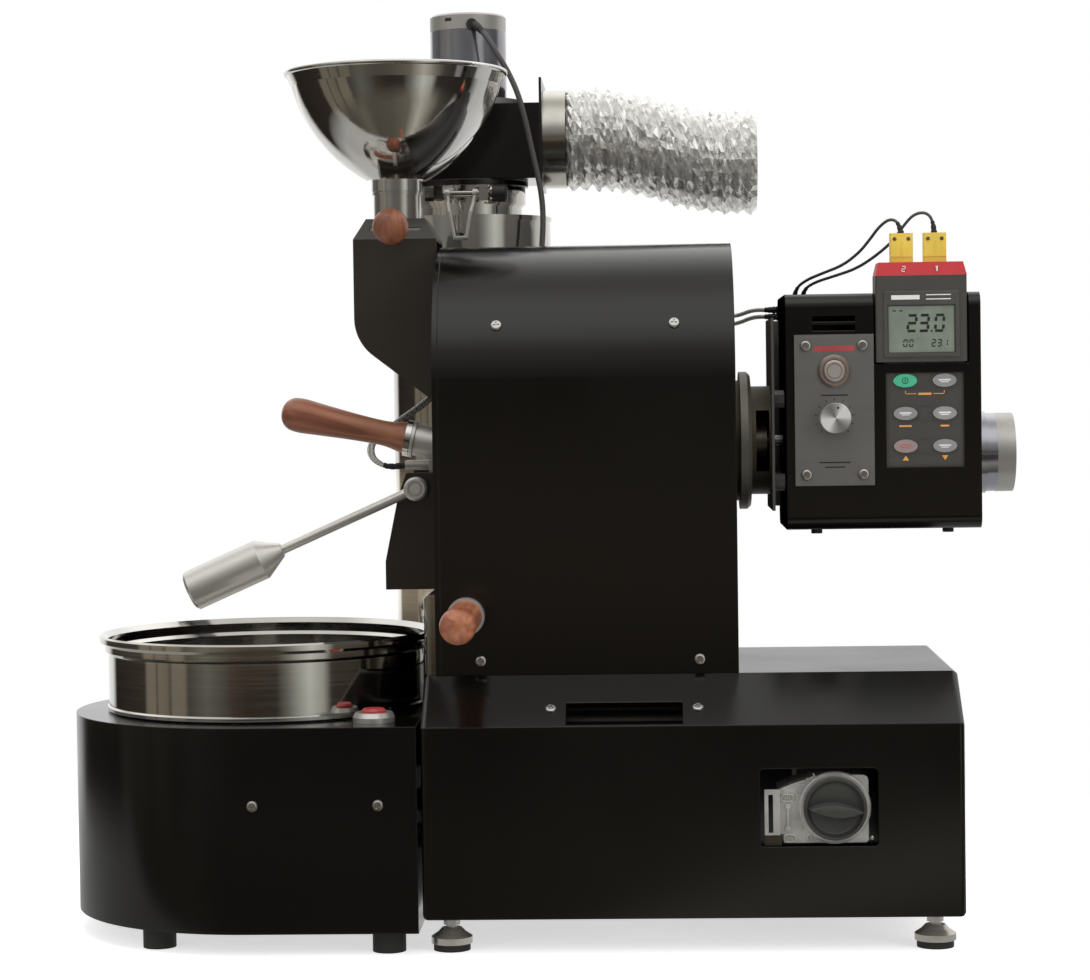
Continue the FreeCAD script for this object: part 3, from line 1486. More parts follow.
def make_discharge():
    """The discharge chute: two cheeks and a low front apron, open below."""
    side = DISCHARGE_SIDE
    whole = prism(discharge_outline(-side, 0), Vector(0, side + side, 0))
    inner_side = side - CHUTE_SHEET
    core = prism(discharge_outline(-inner_side, CHUTE_SHEET), Vector(0, inner_side + inner_side, 0))
    open_front = block(
        PLATE_FACE - DISCHARGE_REACH - OVERRUN,
        PLATE_FACE + OVERRUN,
        -inner_side,
        inner_side,
        BASE_TOP + DISCHARGE_FOOT + DISCHARGE_APRON,
        BASE_TOP + DISCHARGE_TOP + OVERRUN,
    )
    open_back = block(
        PLATE_FACE - OVERRUN,
        PLATE_FACE,
        -inner_side,
        inner_side,
        BASE_TOP + DISCHARGE_FOOT,
        BASE_TOP + DISCHARGE_TOP,
    )
    chute = cut_all(whole, [core, open_front, open_back])
    bore = bar(
        Vector(HINGE_X, -side - OVERRUN, HINGE_Z),
        Vector(HINGE_X, side + OVERRUN, HINGE_Z),
        HINGE_RADIUS + HINGE_BORE_GAP,
    )
    keep("discharge_chute", chute.cut(bore))

    flap_face = PLATE_FACE - GAP
    flap_side = DOOR_SIDE + DOOR_LAP
    flap = block(
        flap_face - DOOR_THICK,
        flap_face,
        -flap_side,
        flap_side,
        BASE_TOP + DOOR_LOW - DOOR_LAP,
        BASE_TOP + DOOR_HIGH + DOOR_LAP,
    )
    arm_side = DOOR_SIDE / 2
    arms = []
    for way in (-1, 1):
        y0 = way * arm_side - DOOR_THICK / 2
        arms.append(
            prism(
                [
                    Vector(HINGE_X, y0, HINGE_Z + HINGE_RADIUS),
                    Vector(HINGE_X, y0, HINGE_Z - HINGE_RADIUS - DOOR_THICK),
                    Vector(flap_face - DOOR_THICK, y0, BASE_TOP + DOOR_HIGH - DOOR_THICK * 4),
                    Vector(flap_face - DOOR_THICK, y0, BASE_TOP + DOOR_HIGH + DOOR_LAP),
                ],
                Vector(0, DOOR_THICK, 0),
            )
        )
    pin = bar(
        Vector(HINGE_X, -side - GAP - HUB_LENGTH, HINGE_Z),
        Vector(HINGE_X, side + HUB_RADIUS, HINGE_Z),
        HINGE_RADIUS,
    )
    hub = turned(
        [
            (0, 0),
            (HUB_RADIUS, 0),
            (HUB_RADIUS, HUB_LENGTH - WALL),
            (HUB_RADIUS - WALL, HUB_LENGTH),
            (HINGE_RADIUS + WALL, HUB_LENGTH),
            (HINGE_RADIUS + WALL, HUB_LENGTH - WALL),
            (0, HUB_LENGTH - WALL),
        ],
        Vector(HINGE_X, -side - GAP, HINGE_Z),
        Vector(0, -1, 0),
    )
    keep("discharge_door", fused([flap, pin, hub] + arms))

    fall = math.radians(LEVER_FALL)
    way = Vector(-math.cos(fall), 0, -math.sin(fall))
    centre = Vector(HINGE_X, -side - GAP - HUB_LENGTH / 2, HINGE_Z)
    seat = math.sqrt(HUB_RADIUS**2 - LEVER_ROD_RADIUS**2)
    start = centre + way * seat
    hub_cut = bar(
        Vector(HINGE_X, -side, HINGE_Z),
        Vector(HINGE_X, -side - HUB_LENGTH - OVERRUN, HINGE_Z),
        HUB_RADIUS,
    )
    rod = bar(start - way * LEVER_ROD_RADIUS, centre + way * LEVER_ROD_LENGTH, LEVER_ROD_RADIUS)
    weight = turned(
        [
            (0, 0),
            (WEIGHT_CONE_RADIUS, 0),
            (WEIGHT_RADIUS, WEIGHT_CONE),
            (WEIGHT_RADIUS, WEIGHT_CONE + WEIGHT_LENGTH - WEIGHT_ROUND),
            (WEIGHT_RADIUS - WEIGHT_ROUND, WEIGHT_CONE + WEIGHT_LENGTH),
            (0, WEIGHT_CONE + WEIGHT_LENGTH),
        ],
        centre + way * LEVER_ROD_LENGTH,
        way,
    )
    keep("weight_lever", group([rod.cut(hub_cut), weight]))


# Sampler
def sampler_point(along):
    """A point on the sampler's axis, at a distance outside the front plate's face."""
    tilt = math.radians(SAMPLER_TILT)
    return Vector(
        PLATE_FACE - along * math.cos(tilt),
        SAMPLER_SIDE,
        BASE_TOP + SAMPLER_LIFT + along * math.sin(tilt),
    )


def make_sampler():
    """The bean sampler: a guide tube on the plate, a scoop, a stop ring and a handle."""
    skew = GUIDE_RADIUS * math.tan(math.radians(SAMPLER_TILT))
    guide = pipe(
        sampler_point(-skew - OVERRUN),
        sampler_point(GUIDE_LENGTH),
        GUIDE_RADIUS,
        SAMPLER_RADIUS + RUNNING_GAP,
    )
    beyond = GUIDE_LENGTH + GUIDE_LENGTH
    inside = block(
        PLATE_FACE,
        PLATE_FACE + beyond,
        SAMPLER_SIDE - GUIDE_LENGTH,
        SAMPLER_SIDE + GUIDE_LENGTH,
        DRUM_Z - beyond,
        DRUM_Z + beyond,
    )
    keep("sampler_guide", guide.cut(inside))

    ring_start = GUIDE_LENGTH + GAP
    ring_end = ring_start + STOP_THICK
    ring = pipe(
        sampler_point(ring_start),
        sampler_point(ring_end),
        FERRULE_RADIUS,
        SAMPLER_RADIUS + RUNNING_GAP,
    )
    keep("sampler_ring", ring)

    tip = sampler_point(-SAMPLER_INSIDE)
    root = sampler_point(ring_end + GAP + FERRULE_THICK)
    tube = bar(tip, root, SAMPLER_RADIUS)
    bore = bar(
        sampler_point(-SAMPLER_INSIDE + STOP_THICK),
        sampler_point(0),
        SAMPLER_RADIUS - SAMPLER_WALL,
    )
    scoop_end = SAMPLER_INSIDE - SAMPLER_SCOOP
    tilt = math.radians(SAMPLER_TILT)
    lid = block(
        0,
        SAMPLER_SCOOP,
        -SAMPLER_RADIUS - OVERRUN,
        SAMPLER_RADIUS + OVERRUN,
        0,
        SAMPLER_RADIUS + OVERRUN,
    )
    turn = FreeCAD.Rotation(Vector(0, 1, 0), SAMPLER_TILT)
    lid.Placement = FreeCAD.Placement(sampler_point(-scoop_end + STOP_THICK), turn)
    ferrule = bar(sampler_point(ring_end + GAP), root, FERRULE_RADIUS)
    keep("sampler_tube", fused([tube, ferrule]).cut(bore).cut(lid))
    keep("sampler_handle", wooden_handle(root, Vector(-math.cos(tilt), 0, math.sin(tilt))))


# Probes and the leads
def probe_places():
    """Where the two probes pass the front plate's outer face."""
    z = BASE_TOP + PROBE_LIFT
    return [Vector(PLATE_FACE, y, z) for y in (0, PROBE_SPACING)]


def make_probes():
    """Two sheathed probes, each with its gland nut."""
    shapes = []
    for place in probe_places():
        back = Vector(1, 0, 0)
        sheath = bar(place - back * PROBE_REACH, place, PROBE_SHEATH_RADIUS)
        tip = bar(place - back, place + back * (FRONT_PLATE + PROBE_INSIDE), PROBE_TIP_RADIUS)
        nut = hexagon(place - back * PROBE_NUT_LENGTH, place, PROBE_NUT_ACROSS)
        shapes.append(fused([sheath, tip, nut]))
    keep("temperature_probes", group(shapes))


def cord_tube(name, points, radius):
    """A cord along straight runs joined by tangent arcs, whose radii are printed."""
    edges = []
    radii = []
    here = points[0]
    for before, corner, after in zip(points, points[1:], points[2:]):
        into = corner - before
        out = after - corner
        short = min(into.Length, out.Length)
        turn = into.getAngle(out)
        into.normalize()
        out.normalize()
        reach = ARC_SHARE * short
        bend = reach / math.tan(turn / 2)
        enter = corner - into * reach
        leave = corner + out * reach
        inward = out - into
        inward.normalize()
        middle = corner + inward * (bend / math.cos(turn / 2) - bend)
        edges.append(Part.LineSegment(here, enter).toShape())
        edges.append(Part.Arc(enter, middle, leave).toShape())
        radii.append(bend)
        here = leave
    edges.append(Part.LineSegment(here, points[-1]).toShape())
    path = Part.Wire(edges)
    first = points[1] - points[0]
    ring = Part.Wire([Part.Circle(points[0], first, radius).toShape()])
    tube = path.makePipeShell([ring], True, False)
    share = tube.Volume / (math.pi * radius**2 * path.Length)
    listed = " ".join("%.0f" % bend for bend in radii)
    print("%s: length %.0f, radii %s, volume share %.3f" % (name, path.Length, listed, share))
    return tube


# The leads' points are chosen by hand. Each stretch is given as offsets from the place on the
# machine that carries it. A probe's lead runs round under the upper chute and along the casing's
# back into the control box.
FIRST_LEAD_AT_PLATE = [
    (-27.7, 0.0, -14.9),
    (-35.9, 0.0, -16.0),
    (-44.4, 1.0, -14.8),
    (-51.9, 4.0, -8.9),
    (-52.9, 9.0, 0.1),
    (-45.4, 16.0, 9.6),
    (-32.4, 25.0, 19.6),
    (-17.4, 38.0, 30.1),
]
FIRST_LEAD_AT_FRONT_CORNER = [
    (-7.9, -39.5, 40.6),
    (-6.4, -21.5, 51.6),
    (-6.4, -5.5, 63.1),
    (-4.8, 5.5, 73.1),
    (7.6, 5.1, 78.6),
    (33.6, -0.5, 81.6),
    (76.6, -1.7, 84.6),
]
FIRST_LEAD_AT_REAR_CORNER = [
    (-81.1, -2.7, 87.1),
    (-31.1, -3.9, 89.6),
    (6.9, -5.5, 93.1),
]
FIRST_LEAD_AT_BOX = [
    (-18.4, 70.0, -7.1),
    (-8.9, 54.0, -7.7),
    (0.0, 50.0, -7.9),
]
SECOND_LEAD_AT_PLATE = [
    (-27.7, 14.0, -14.9),
    (-36.9, 14.4, -16.8),
    (-46.4, 15.5, -15.4),
    (-54.9, 17.5, -9.9),
    (-56.9, 21.5, -0.9),
    (-49.4, 27.0, 8.6),
    (-35.4, 34.5, 17.1),
    (-19.4, 46.0, 26.6),
]
SECOND_LEAD_AT_FRONT_CORNER = [
    (-9.9, -34.5, 36.1),
    (-7.8, -18.5, 46.6),
    (-6.8, -5.5, 56.6),
    (-5.2, 5.9, 65.6),
    (7.1, 6.5, 71.1),
    (33.6, 2.1, 74.6),
    (76.6, 0.9, 77.6),
]
SECOND_LEAD_AT_REAR_CORNER = [
    (-81.1, 0.1, 80.1),
    (-31.1, -0.9, 82.6),
    (6.9, -3.5, 87.1),
]
SECOND_LEAD_AT_BOX = [
    (-18.4, 71.0, -12.5),
    (-8.9, 54.0, -12.7),
    (0.0, 50.0, -13.1),
]
FIRST_WIRE_AT_BOX = [
    (11.7, 40.0, 0.0),
    (12.5, 38.4, 7.3),
    (20.1, 29.0, 13.3),
    (32.1, 15.0, 17.8),
    (45.1, -2.0, 22.3),
    (56.1, -18.0, 30.8),
    (63.1, -29.0, 39.8),
    (69.1, -38.0, 48.3),
    (76.1, -44.5, 53.3),
    (82.1, -47.6, 50.1),
    (83.3, -49.3, 42.6),
]
SECOND_WIRE_AT_BOX = [
    (17.7, 40.0, 0.0),
    (18.7, 38.2, 6.8),
    (27.1, 29.0, 11.8),
    (40.1, 14.0, 15.3),
    (55.1, -4.0, 19.8),
    (68.1, -20.0, 28.3),
    (79.1, -31.0, 37.8),
    (86.1, -38.0, 48.3),
    (93.1, -43.0, 56.3),
    (101.6, -47.0, 57.3),
    (106.4, -48.8, 50.8),
    (106.7, -49.3, 42.6),
]
MOTOR_LEAD_AT_FAN = [
    (7.5, -29.7, 57.0),
    (9.0, -40.0, 56.0),
    (16.5, -48.5, 49.0),
    (25.5, -51.5, 37.0),
    (34.5, -50.0, 22.0),
    (42.0, -51.0, 4.0),
    (47.0, -50.5, -16.0),
    (51.0, -50.0, -36.0),
    (55.5, -50.5, -56.0),
    (59.0, -51.5, -76.0),
]
MOTOR_LEAD_AT_BASE = [
    (59.5, -23.0, 327.5),
    (58.0, -26.5, 307.5),
    (57.5, -31.0, 280.5),
    (59.5, -33.5, 250.5),
    (62.0, -34.5, 215.5),
    (63.5, -35.0, 175.5),
    (64.5, -34.6, 135.5),
    (64.0, -35.0, 95.5),
    (65.0, -34.4, 55.5),
    (65.0, -32.0, 20.5),
    (65.2, -27.5, -9.5),
]


def stretch(place, offsets):
    """A stretch of a lead's route: offsets from a place, as points."""
    return [place + Vector(x, y, z) for x, y, z in offsets]


def make_leads():
    """The probe leads, the plug wires and the fan motor's lead."""
    plate = Vector(PLATE_FACE, 0, DRUM_Z)
    front_corner = Vector(PLATE_FACE, CASING_SIDE, DRUM_Z)
    rear_corner = Vector(CASING_END, CASING_SIDE, DRUM_Z)
    box = Vector(BOX_START, 0, BOX_TOP)
    route = stretch(plate, FIRST_LEAD_AT_PLATE)
    route += stretch(front_corner, FIRST_LEAD_AT_FRONT_CORNER)
    route += stretch(rear_corner, FIRST_LEAD_AT_REAR_CORNER)
    route += stretch(box, FIRST_LEAD_AT_BOX)
    first = cord_tube("probe lead 1", route, LEAD_RADIUS)
    route = stretch(plate, SECOND_LEAD_AT_PLATE)
    route += stretch(front_corner, SECOND_LEAD_AT_FRONT_CORNER)
    route += stretch(rear_corner, SECOND_LEAD_AT_REAR_CORNER)
    route += stretch(box, SECOND_LEAD_AT_BOX)
    second = cord_tube("probe lead 2", route, LEAD_RADIUS)
    keep("probe_leads", group([first, second]))
    one = cord_tube("plug wire 1", stretch(box, FIRST_WIRE_AT_BOX), WIRE_RADIUS)
    two = cord_tube("plug wire 2", stretch(box, SECOND_WIRE_AT_BOX), WIRE_RADIUS)
    keep("plug_wires", group([one, two]))
    route = stretch(Vector(CAN_START, CAN_BACK, FAN_TOP), MOTOR_LEAD_AT_FAN)
    route += stretch(Vector(CAN_START, BASE_SIDE, BASE_TOP), MOTOR_LEAD_AT_BASE)
    keep("fan_motor_lead", cord_tube("motor lead", route, MOTOR_LEAD_RADIUS))


# Cooler
def cooler_outline(inset, z):
    """The cooler's plan: a half circle on the left, straight on the right."""
    radius = COOLER_RADIUS - inset
    right = -COOLER_GAP - inset
    front = Vector(COOLER_X, -radius, z)
    back = Vector(COOLER_X, radius, z)
    edges = [
        Part.Arc(front, Vector(COOLER_X - radius, 0, z), back).toShape(),
        Part.makeLine(back, Vector(right, radius, z)),
        Part.makeLine(Vector(right, radius, z), Vector(right, -radius, z)),
        Part.makeLine(Vector(right, -radius, z), front),
    ]
    return Part.Face(Part.Wire(edges))


def cooler_foot_places():
    """Where the cooler's four rubber feet stand."""
    found = []
    for side in (-1, 1):
        found.append(Vector(COOLER_FOOT_LEFT, side * COOLER_FOOT_LEFT_SIDE, 0))
        found.append(Vector(COOLER_FOOT_RIGHT, side * COOLER_FOOT_RIGHT_SIDE, 0))
    return found


def make_cooler():
    """The cooler casing with its spacers, bin opening, fan bar and rear vents."""
    outer = cooler_outline(0, COOLER_LIFT).extrude(Vector(0, 0, COOLER_HEIGHT))
    inner = cooler_outline(WALL, COOLER_LIFT + WALL)
    inner = inner.extrude(Vector(0, 0, COOLER_HEIGHT - WALL - WALL))
    mouth = cooler_outline(COOLER_FLANGE, COOLER_LIFT - OVERRUN)
    mouth = mouth.extrude(Vector(0, 0, OVERRUN + OVERRUN))
    opening = bar(
        Vector(COOLER_X, 0, COOLER_TOP - OVERRUN),
        Vector(COOLER_X, 0, COOLER_TOP + OVERRUN),
        BIN_OPENING,
    )
    vents = []
    for step in range(VENT_COUNT):
        x = VENT_START + step * VENT_PITCH
        low = COOLER_LIFT + VENT_LIFT
        side = COOLER_RADIUS
        vents.append(block(x, x + VENT_WIDTH, side - OVERRUN, side + OVERRUN, low, low + VENT_HEIGHT))
    shell = cut_all(outer, [inner, mouth, opening] + vents)
    bar_z = COOLER_LIFT + FAN_BAR_LIFT
    side = COOLER_RADIUS - WALL / 2
    cross = block(
        COOLER_X - FAN_BAR_WIDTH / 2,
        COOLER_X + FAN_BAR_WIDTH / 2,
        -side,
        side,
        bar_z,
        bar_z + FAN_BAR_THICK,
    )
    cross = cross.common(cooler_outline(WALL / 2, 0).extrude(Vector(0, 0, COOLER_TOP)))
    parts = [shell, cross]
    for way in (-1, 1):
        place = Vector(-COOLER_GAP, way * SPACER_SIDE, COOLER_LIFT + SPACER_LIFT)
        parts.append(bar(place, place + Vector(COOLER_GAP, 0, 0), SPACER_RADIUS))
    casing = fused(parts)
    tools = [screw_hole(place, out) for place, out in cooler_screws()]
    switch = Vector(-SWITCH_OFFSET, SWITCH_SIDE, COOLER_TOP)
    drop = Vector(0, 0, OVERRUN)
    tools.append(bar(switch - drop, switch + drop, SWITCH_BODY_RADIUS))
    keep("cooler_casing", cut_all(casing, tools))

    motor_low = Vector(COOLER_X, 0, bar_z + FAN_BAR_THICK)
    motor_high = motor_low + Vector(0, 0, COOLER_MOTOR_HEIGHT)
    motor = bar(motor_low, motor_high, COOLER_MOTOR_RADIUS)
    bore = bar(
        motor_high - Vector(0, 0, FAN_SHAFT_DEPTH + OVERRUN),
        motor_high + Vector(0, 0, OVERRUN),
        FAN_SHAFT_RADIUS + BEARING_BORE_GAP,
    )
    keep("cooler_fan_motor", motor.cut(bore))
    keep(
        "cooler_fan",
        impeller(motor_high, 1, COOLER_FAN_RADIUS, COOLER_FAN_HEIGHT),
    )


def impeller(face, way, radius, height):
    """A bladed wheel on a shaft that enters the motor face, on the side that way gives."""
    up = Vector(0, 0, way)
    low = face + up * FAN_RUNNING_GAP
    shaft = bar(face - up * FAN_SHAFT_DEPTH, low + up * FAN_PLATE, FAN_SHAFT_RADIUS)
    plate = bar(low, low + up * FAN_PLATE, radius)
    hub = bar(low, low + up * height, FAN_HUB_RADIUS)
    blades = []
    for step in range(FAN_BLADES):
        bottom = min(low.z, low.z + way * height)
        blade = Part.makeBox(
            radius - FAN_HUB_RADIUS - FAN_PLATE,
            FAN_PLATE,
            height,
            Vector(face.x + FAN_HUB_RADIUS - FAN_PLATE, face.y, bottom),
        )
        blade.rotate(face, Vector(0, 0, 1), step * FULL_TURN / FAN_BLADES)
        blades.append(blade)
    return fused([plate, hub, shaft] + blades)


def make_bin():
    """The cooling bin: a rimmed ring with a perforated bottom."""
    low = COOLER_TOP + GAP
    top = BIN_HEIGHT
    inner = BIN_RADIUS - BIN_WALL
    step = BIN_HEIGHT - BIN_STEP_HEIGHT
    rim = BIN_HEIGHT - BIN_RIM_HEIGHT
    flare = BIN_STEP_RADIUS - BIN_RADIUS
    outline = [
        (inner, 0),
        (BIN_RADIUS, 0),
        (BIN_RADIUS + BIN_BEAD, BIN_BEAD),
        (BIN_RADIUS + BIN_BEAD, BIN_BEAD_HEIGHT),
        (BIN_RADIUS, BIN_BEAD_HEIGHT + BIN_BEAD),
        (BIN_RADIUS, step),
        (BIN_STEP_RADIUS, step + flare),
        (BIN_STEP_RADIUS, rim),
        (BIN_RIM_RADIUS, rim + flare),
        (BIN_RIM_RADIUS, top - BIN_WALL),
        (BIN_RIM_RADIUS - BIN_WALL, top),
        (BIN_STEP_RADIUS - BIN_WALL, rim + flare + BIN_WALL),
        (BIN_STEP_RADIUS - BIN_WALL, step + flare + BIN_WALL),
        (inner, step + BIN_WALL),
    ]
    wall = turned(outline, Vector(COOLER_X, 0, low), Vector(0, 0, 1))
    plate_low = low + SIEVE_HEIGHT
    outer_ring = Part.Wire([Part.Circle(Vector(COOLER_X, 0, plate_low), Vector(0, 0, 1), inner).toShape()])
    rings = [outer_ring]
    reach = inner - SIEVE_PITCH
    row_pitch = SIEVE_PITCH * math.sqrt(3) / 2
    rows = int(reach / row_pitch)
    for row in range(-rows, rows + 1):
        y = row * row_pitch
        shift = SIEVE_PITCH / 2 if row % 2 else 0
        columns = int(math.sqrt(reach**2 - y**2) / SIEVE_PITCH)
        for column in range(-columns, columns + 1):
            x = column * SIEVE_PITCH + shift
            if math.hypot(x, y) > reach:
                continue
            centre = Vector(COOLER_X + x, y, plate_low)
            circle = Part.Circle(centre, Vector(0, 0, 1), SIEVE_HOLE_RADIUS)
            rings.append(Part.Wire([circle.toShape()]))
    print("sieve holes:", len(rings) - 1)
    sheet = Part.makeFace(rings, "Part::FaceMakerBullseye").extrude(Vector(0, 0, SIEVE_THICK))
    keep("cooling_bin", fused([wall, sheet]))


def make_cooler_switch():
    """The push switch on the cooler: a metal body and a sprung red cap."""
    place = Vector(-SWITCH_OFFSET, SWITCH_SIDE, COOLER_TOP)
    bore = SWITCH_CAP_RADIUS + GAP
    body = turned(
        [
            (0, -SWITCH_BODY_DEPTH),
            (SWITCH_BODY_RADIUS - RUNNING_GAP, -SWITCH_BODY_DEPTH),
            (SWITCH_BODY_RADIUS - RUNNING_GAP, 0),
            (SWITCH_RADIUS, 0),
            (SWITCH_RADIUS, SWITCH_RISE / 2),
            (SWITCH_RADIUS - SWITCH_RISE / 4, SWITCH_RISE),
            (bore, SWITCH_RISE),
            (bore, -SWITCH_BODY_DEPTH / 2),
            (0, -SWITCH_BODY_DEPTH / 2),
        ],
        place,
        Vector(0, 0, 1),
    )
    keep("cooler_switch_body", body)
    low = -SWITCH_BODY_DEPTH / 2 + SWITCH_TRAVEL + GAP
    cap = turned(
        [
            (0, low),
            (SWITCH_CAP_RADIUS, low),
            (SWITCH_CAP_RADIUS, SWITCH_CAP_RISE - WALL),
            (SWITCH_CAP_RADIUS - WALL, SWITCH_CAP_RISE),
            (0, SWITCH_CAP_RISE),
        ],
        place,
        Vector(0, 0, 1),
    )
    keep("cooler_switch_cap", cap)


# Control box
def panel_point(drop):
    """A point on the control box's front face on the panel's middle line."""
    x = BOX_START + PANEL_OFFSET + PANEL_WIDTH / 2
    return Vector(x, BOX_FRONT, BOX_BOTTOM + PANEL_RISE + PANEL_HEIGHT - drop)


def plug_x(step):
    """The middle of a thermocouple plug."""
    return METER_X + PLUG_SHIFT + (step - 0.5) * PLUG_SPACING


def make_box():
    """The control box, its bracket, the control panel and the drum motor."""
    side = BOX_DEPTH / 2
    outer = block(BOX_START, BOX_END, -side, side, BOX_BOTTOM, BOX_TOP)
    outer = softened(outer, BOX_ROUND, Vector(1, 0, 0))
    inner = block(
        BOX_START + WALL,
        BOX_END - WALL,
        -side + WALL,
        side - WALL,
        BOX_BOTTOM + WALL,
        BOX_TOP - WALL,
    )
    inner = softened(inner, BOX_ROUND - WALL, Vector(1, 0, 0))
    notch_half = METER_WIDTH / 2 + METER_NOTCH_MARGIN
    tools = [
        inner,
        block(
            METER_X - notch_half,
            METER_X + notch_half,
            -side - OVERRUN,
            METER_FRONT + METER_DEPTH + METER_NOTCH_MARGIN,
            BOX_BOTTOM + METER_HEAD_FOOT - METER_NOTCH_MARGIN,
            BOX_TOP + OVERRUN,
        ),
        block(
            KEY_X - KEY_WINDOW_WIDTH / 2,
            KEY_X + KEY_WINDOW_WIDTH / 2,
            -side - OVERRUN,
            -side + OVERRUN,
            BOX_BOTTOM + KEY_WINDOW_LOW,
            BOX_BOTTOM + KEY_WINDOW_HIGH,
        ),
    ]
    for step in range(2):
        z = BOX_TOP - BOX_VENT_DROP - step * BOX_VENT_PITCH
        x = BOX_START + BOX_VENT_OFFSET
        tools.append(
            block(x, x + BOX_VENT_LENGTH, -side - OVERRUN, -side + OVERRUN, z - BOX_VENT_HEIGHT, z)
        )
    front = Vector(0, OVERRUN + OVERRUN, 0)
    button = panel_point(BUTTON_DROP)
    knob = panel_point(KNOB_DROP)
    body = BUTTON_RADIUS + BUTTON_BODY_WALL + GAP
    tools.append(bar(button - front, button + front, body + RUNNING_GAP))
    tools.append(bar(knob - front, knob + front, KNOB_SPINDLE_RADIUS + WALL))
    tools.append(
        bar(
            Vector(BOX_END - OVERRUN, 0, MOTOR_Z),
            Vector(BOX_END + OVERRUN, 0, MOTOR_Z),
            MOTOR_RADIUS + GAP,
        )
    )
    tools.append(
        bar(
            Vector(BOX_START - OVERRUN, 0, DRUM_Z),
            Vector(BOX_START + OVERRUN, 0, DRUM_Z),
            BRACKET_BORE,
        )
    )
    tools += [screw_hole(place, out) for place, out in panel_screws()]
    keep("control_box", cut_all(outer, tools))

    plate = block(
        NECK_END,
        NECK_END + BRACKET_THICK,
        -BRACKET_SIDE,
        BRACKET_SIDE,
        DRUM_Z - BRACKET_LOW,
        DRUM_Z + BRACKET_HIGH,
    )
    flange = block(
        NECK_END,
        BOX_START,
        BRACKET_SIDE - BRACKET_THICK,
        BRACKET_SIDE,
        DRUM_Z - BRACKET_LOW,
        DRUM_Z + BRACKET_HIGH,
    )
    posts = []
    for y in (-STANDOFF_SIDE, STANDOFF_SIDE):
        for z in (DRUM_Z - STANDOFF_RISE, DRUM_Z + STANDOFF_RISE):
            start = Vector(NECK_END + BRACKET_THICK, y, z)
            posts.append(hexagon(start, Vector(BOX_START, y, z), STANDOFF_ACROSS))
    tools = [
        bar(
            Vector(NECK_END - OVERRUN, 0, DRUM_Z),
            Vector(NECK_END + OVERRUN, 0, DRUM_Z),
            BRACKET_BORE,
        )
    ]
    for place, out in bracket_screws():
        tools.append(screw_hole(place, out, SMALL_SCREW_SHARE))
    keep("box_bracket", cut_all(fused([plate, flange] + posts), tools))

    left = Vector(BOX_START + WALL, 0, MOTOR_Z)
    cap_start = BOX_END + MOTOR_REACH - MOTOR_CAP_LENGTH
    can = bar(left, Vector(cap_start, 0, MOTOR_Z), MOTOR_RADIUS)
    cap = bar(
        Vector(cap_start, 0, MOTOR_Z),
        Vector(BOX_END + MOTOR_REACH, 0, MOTOR_Z),
        MOTOR_RADIUS - MOTOR_CAP_STEP,
    )
    shaft = bar(
        Vector(BOX_START + WALL + MOTOR_SHAFT_REACH, 0, DRUM_Z),
        Vector(BOX_START - MOTOR_SHAFT_REACH, 0, DRUM_Z),
        MOTOR_SHAFT_RADIUS,
    )
    keep("drum_motor", fused([can, cap, shaft]))


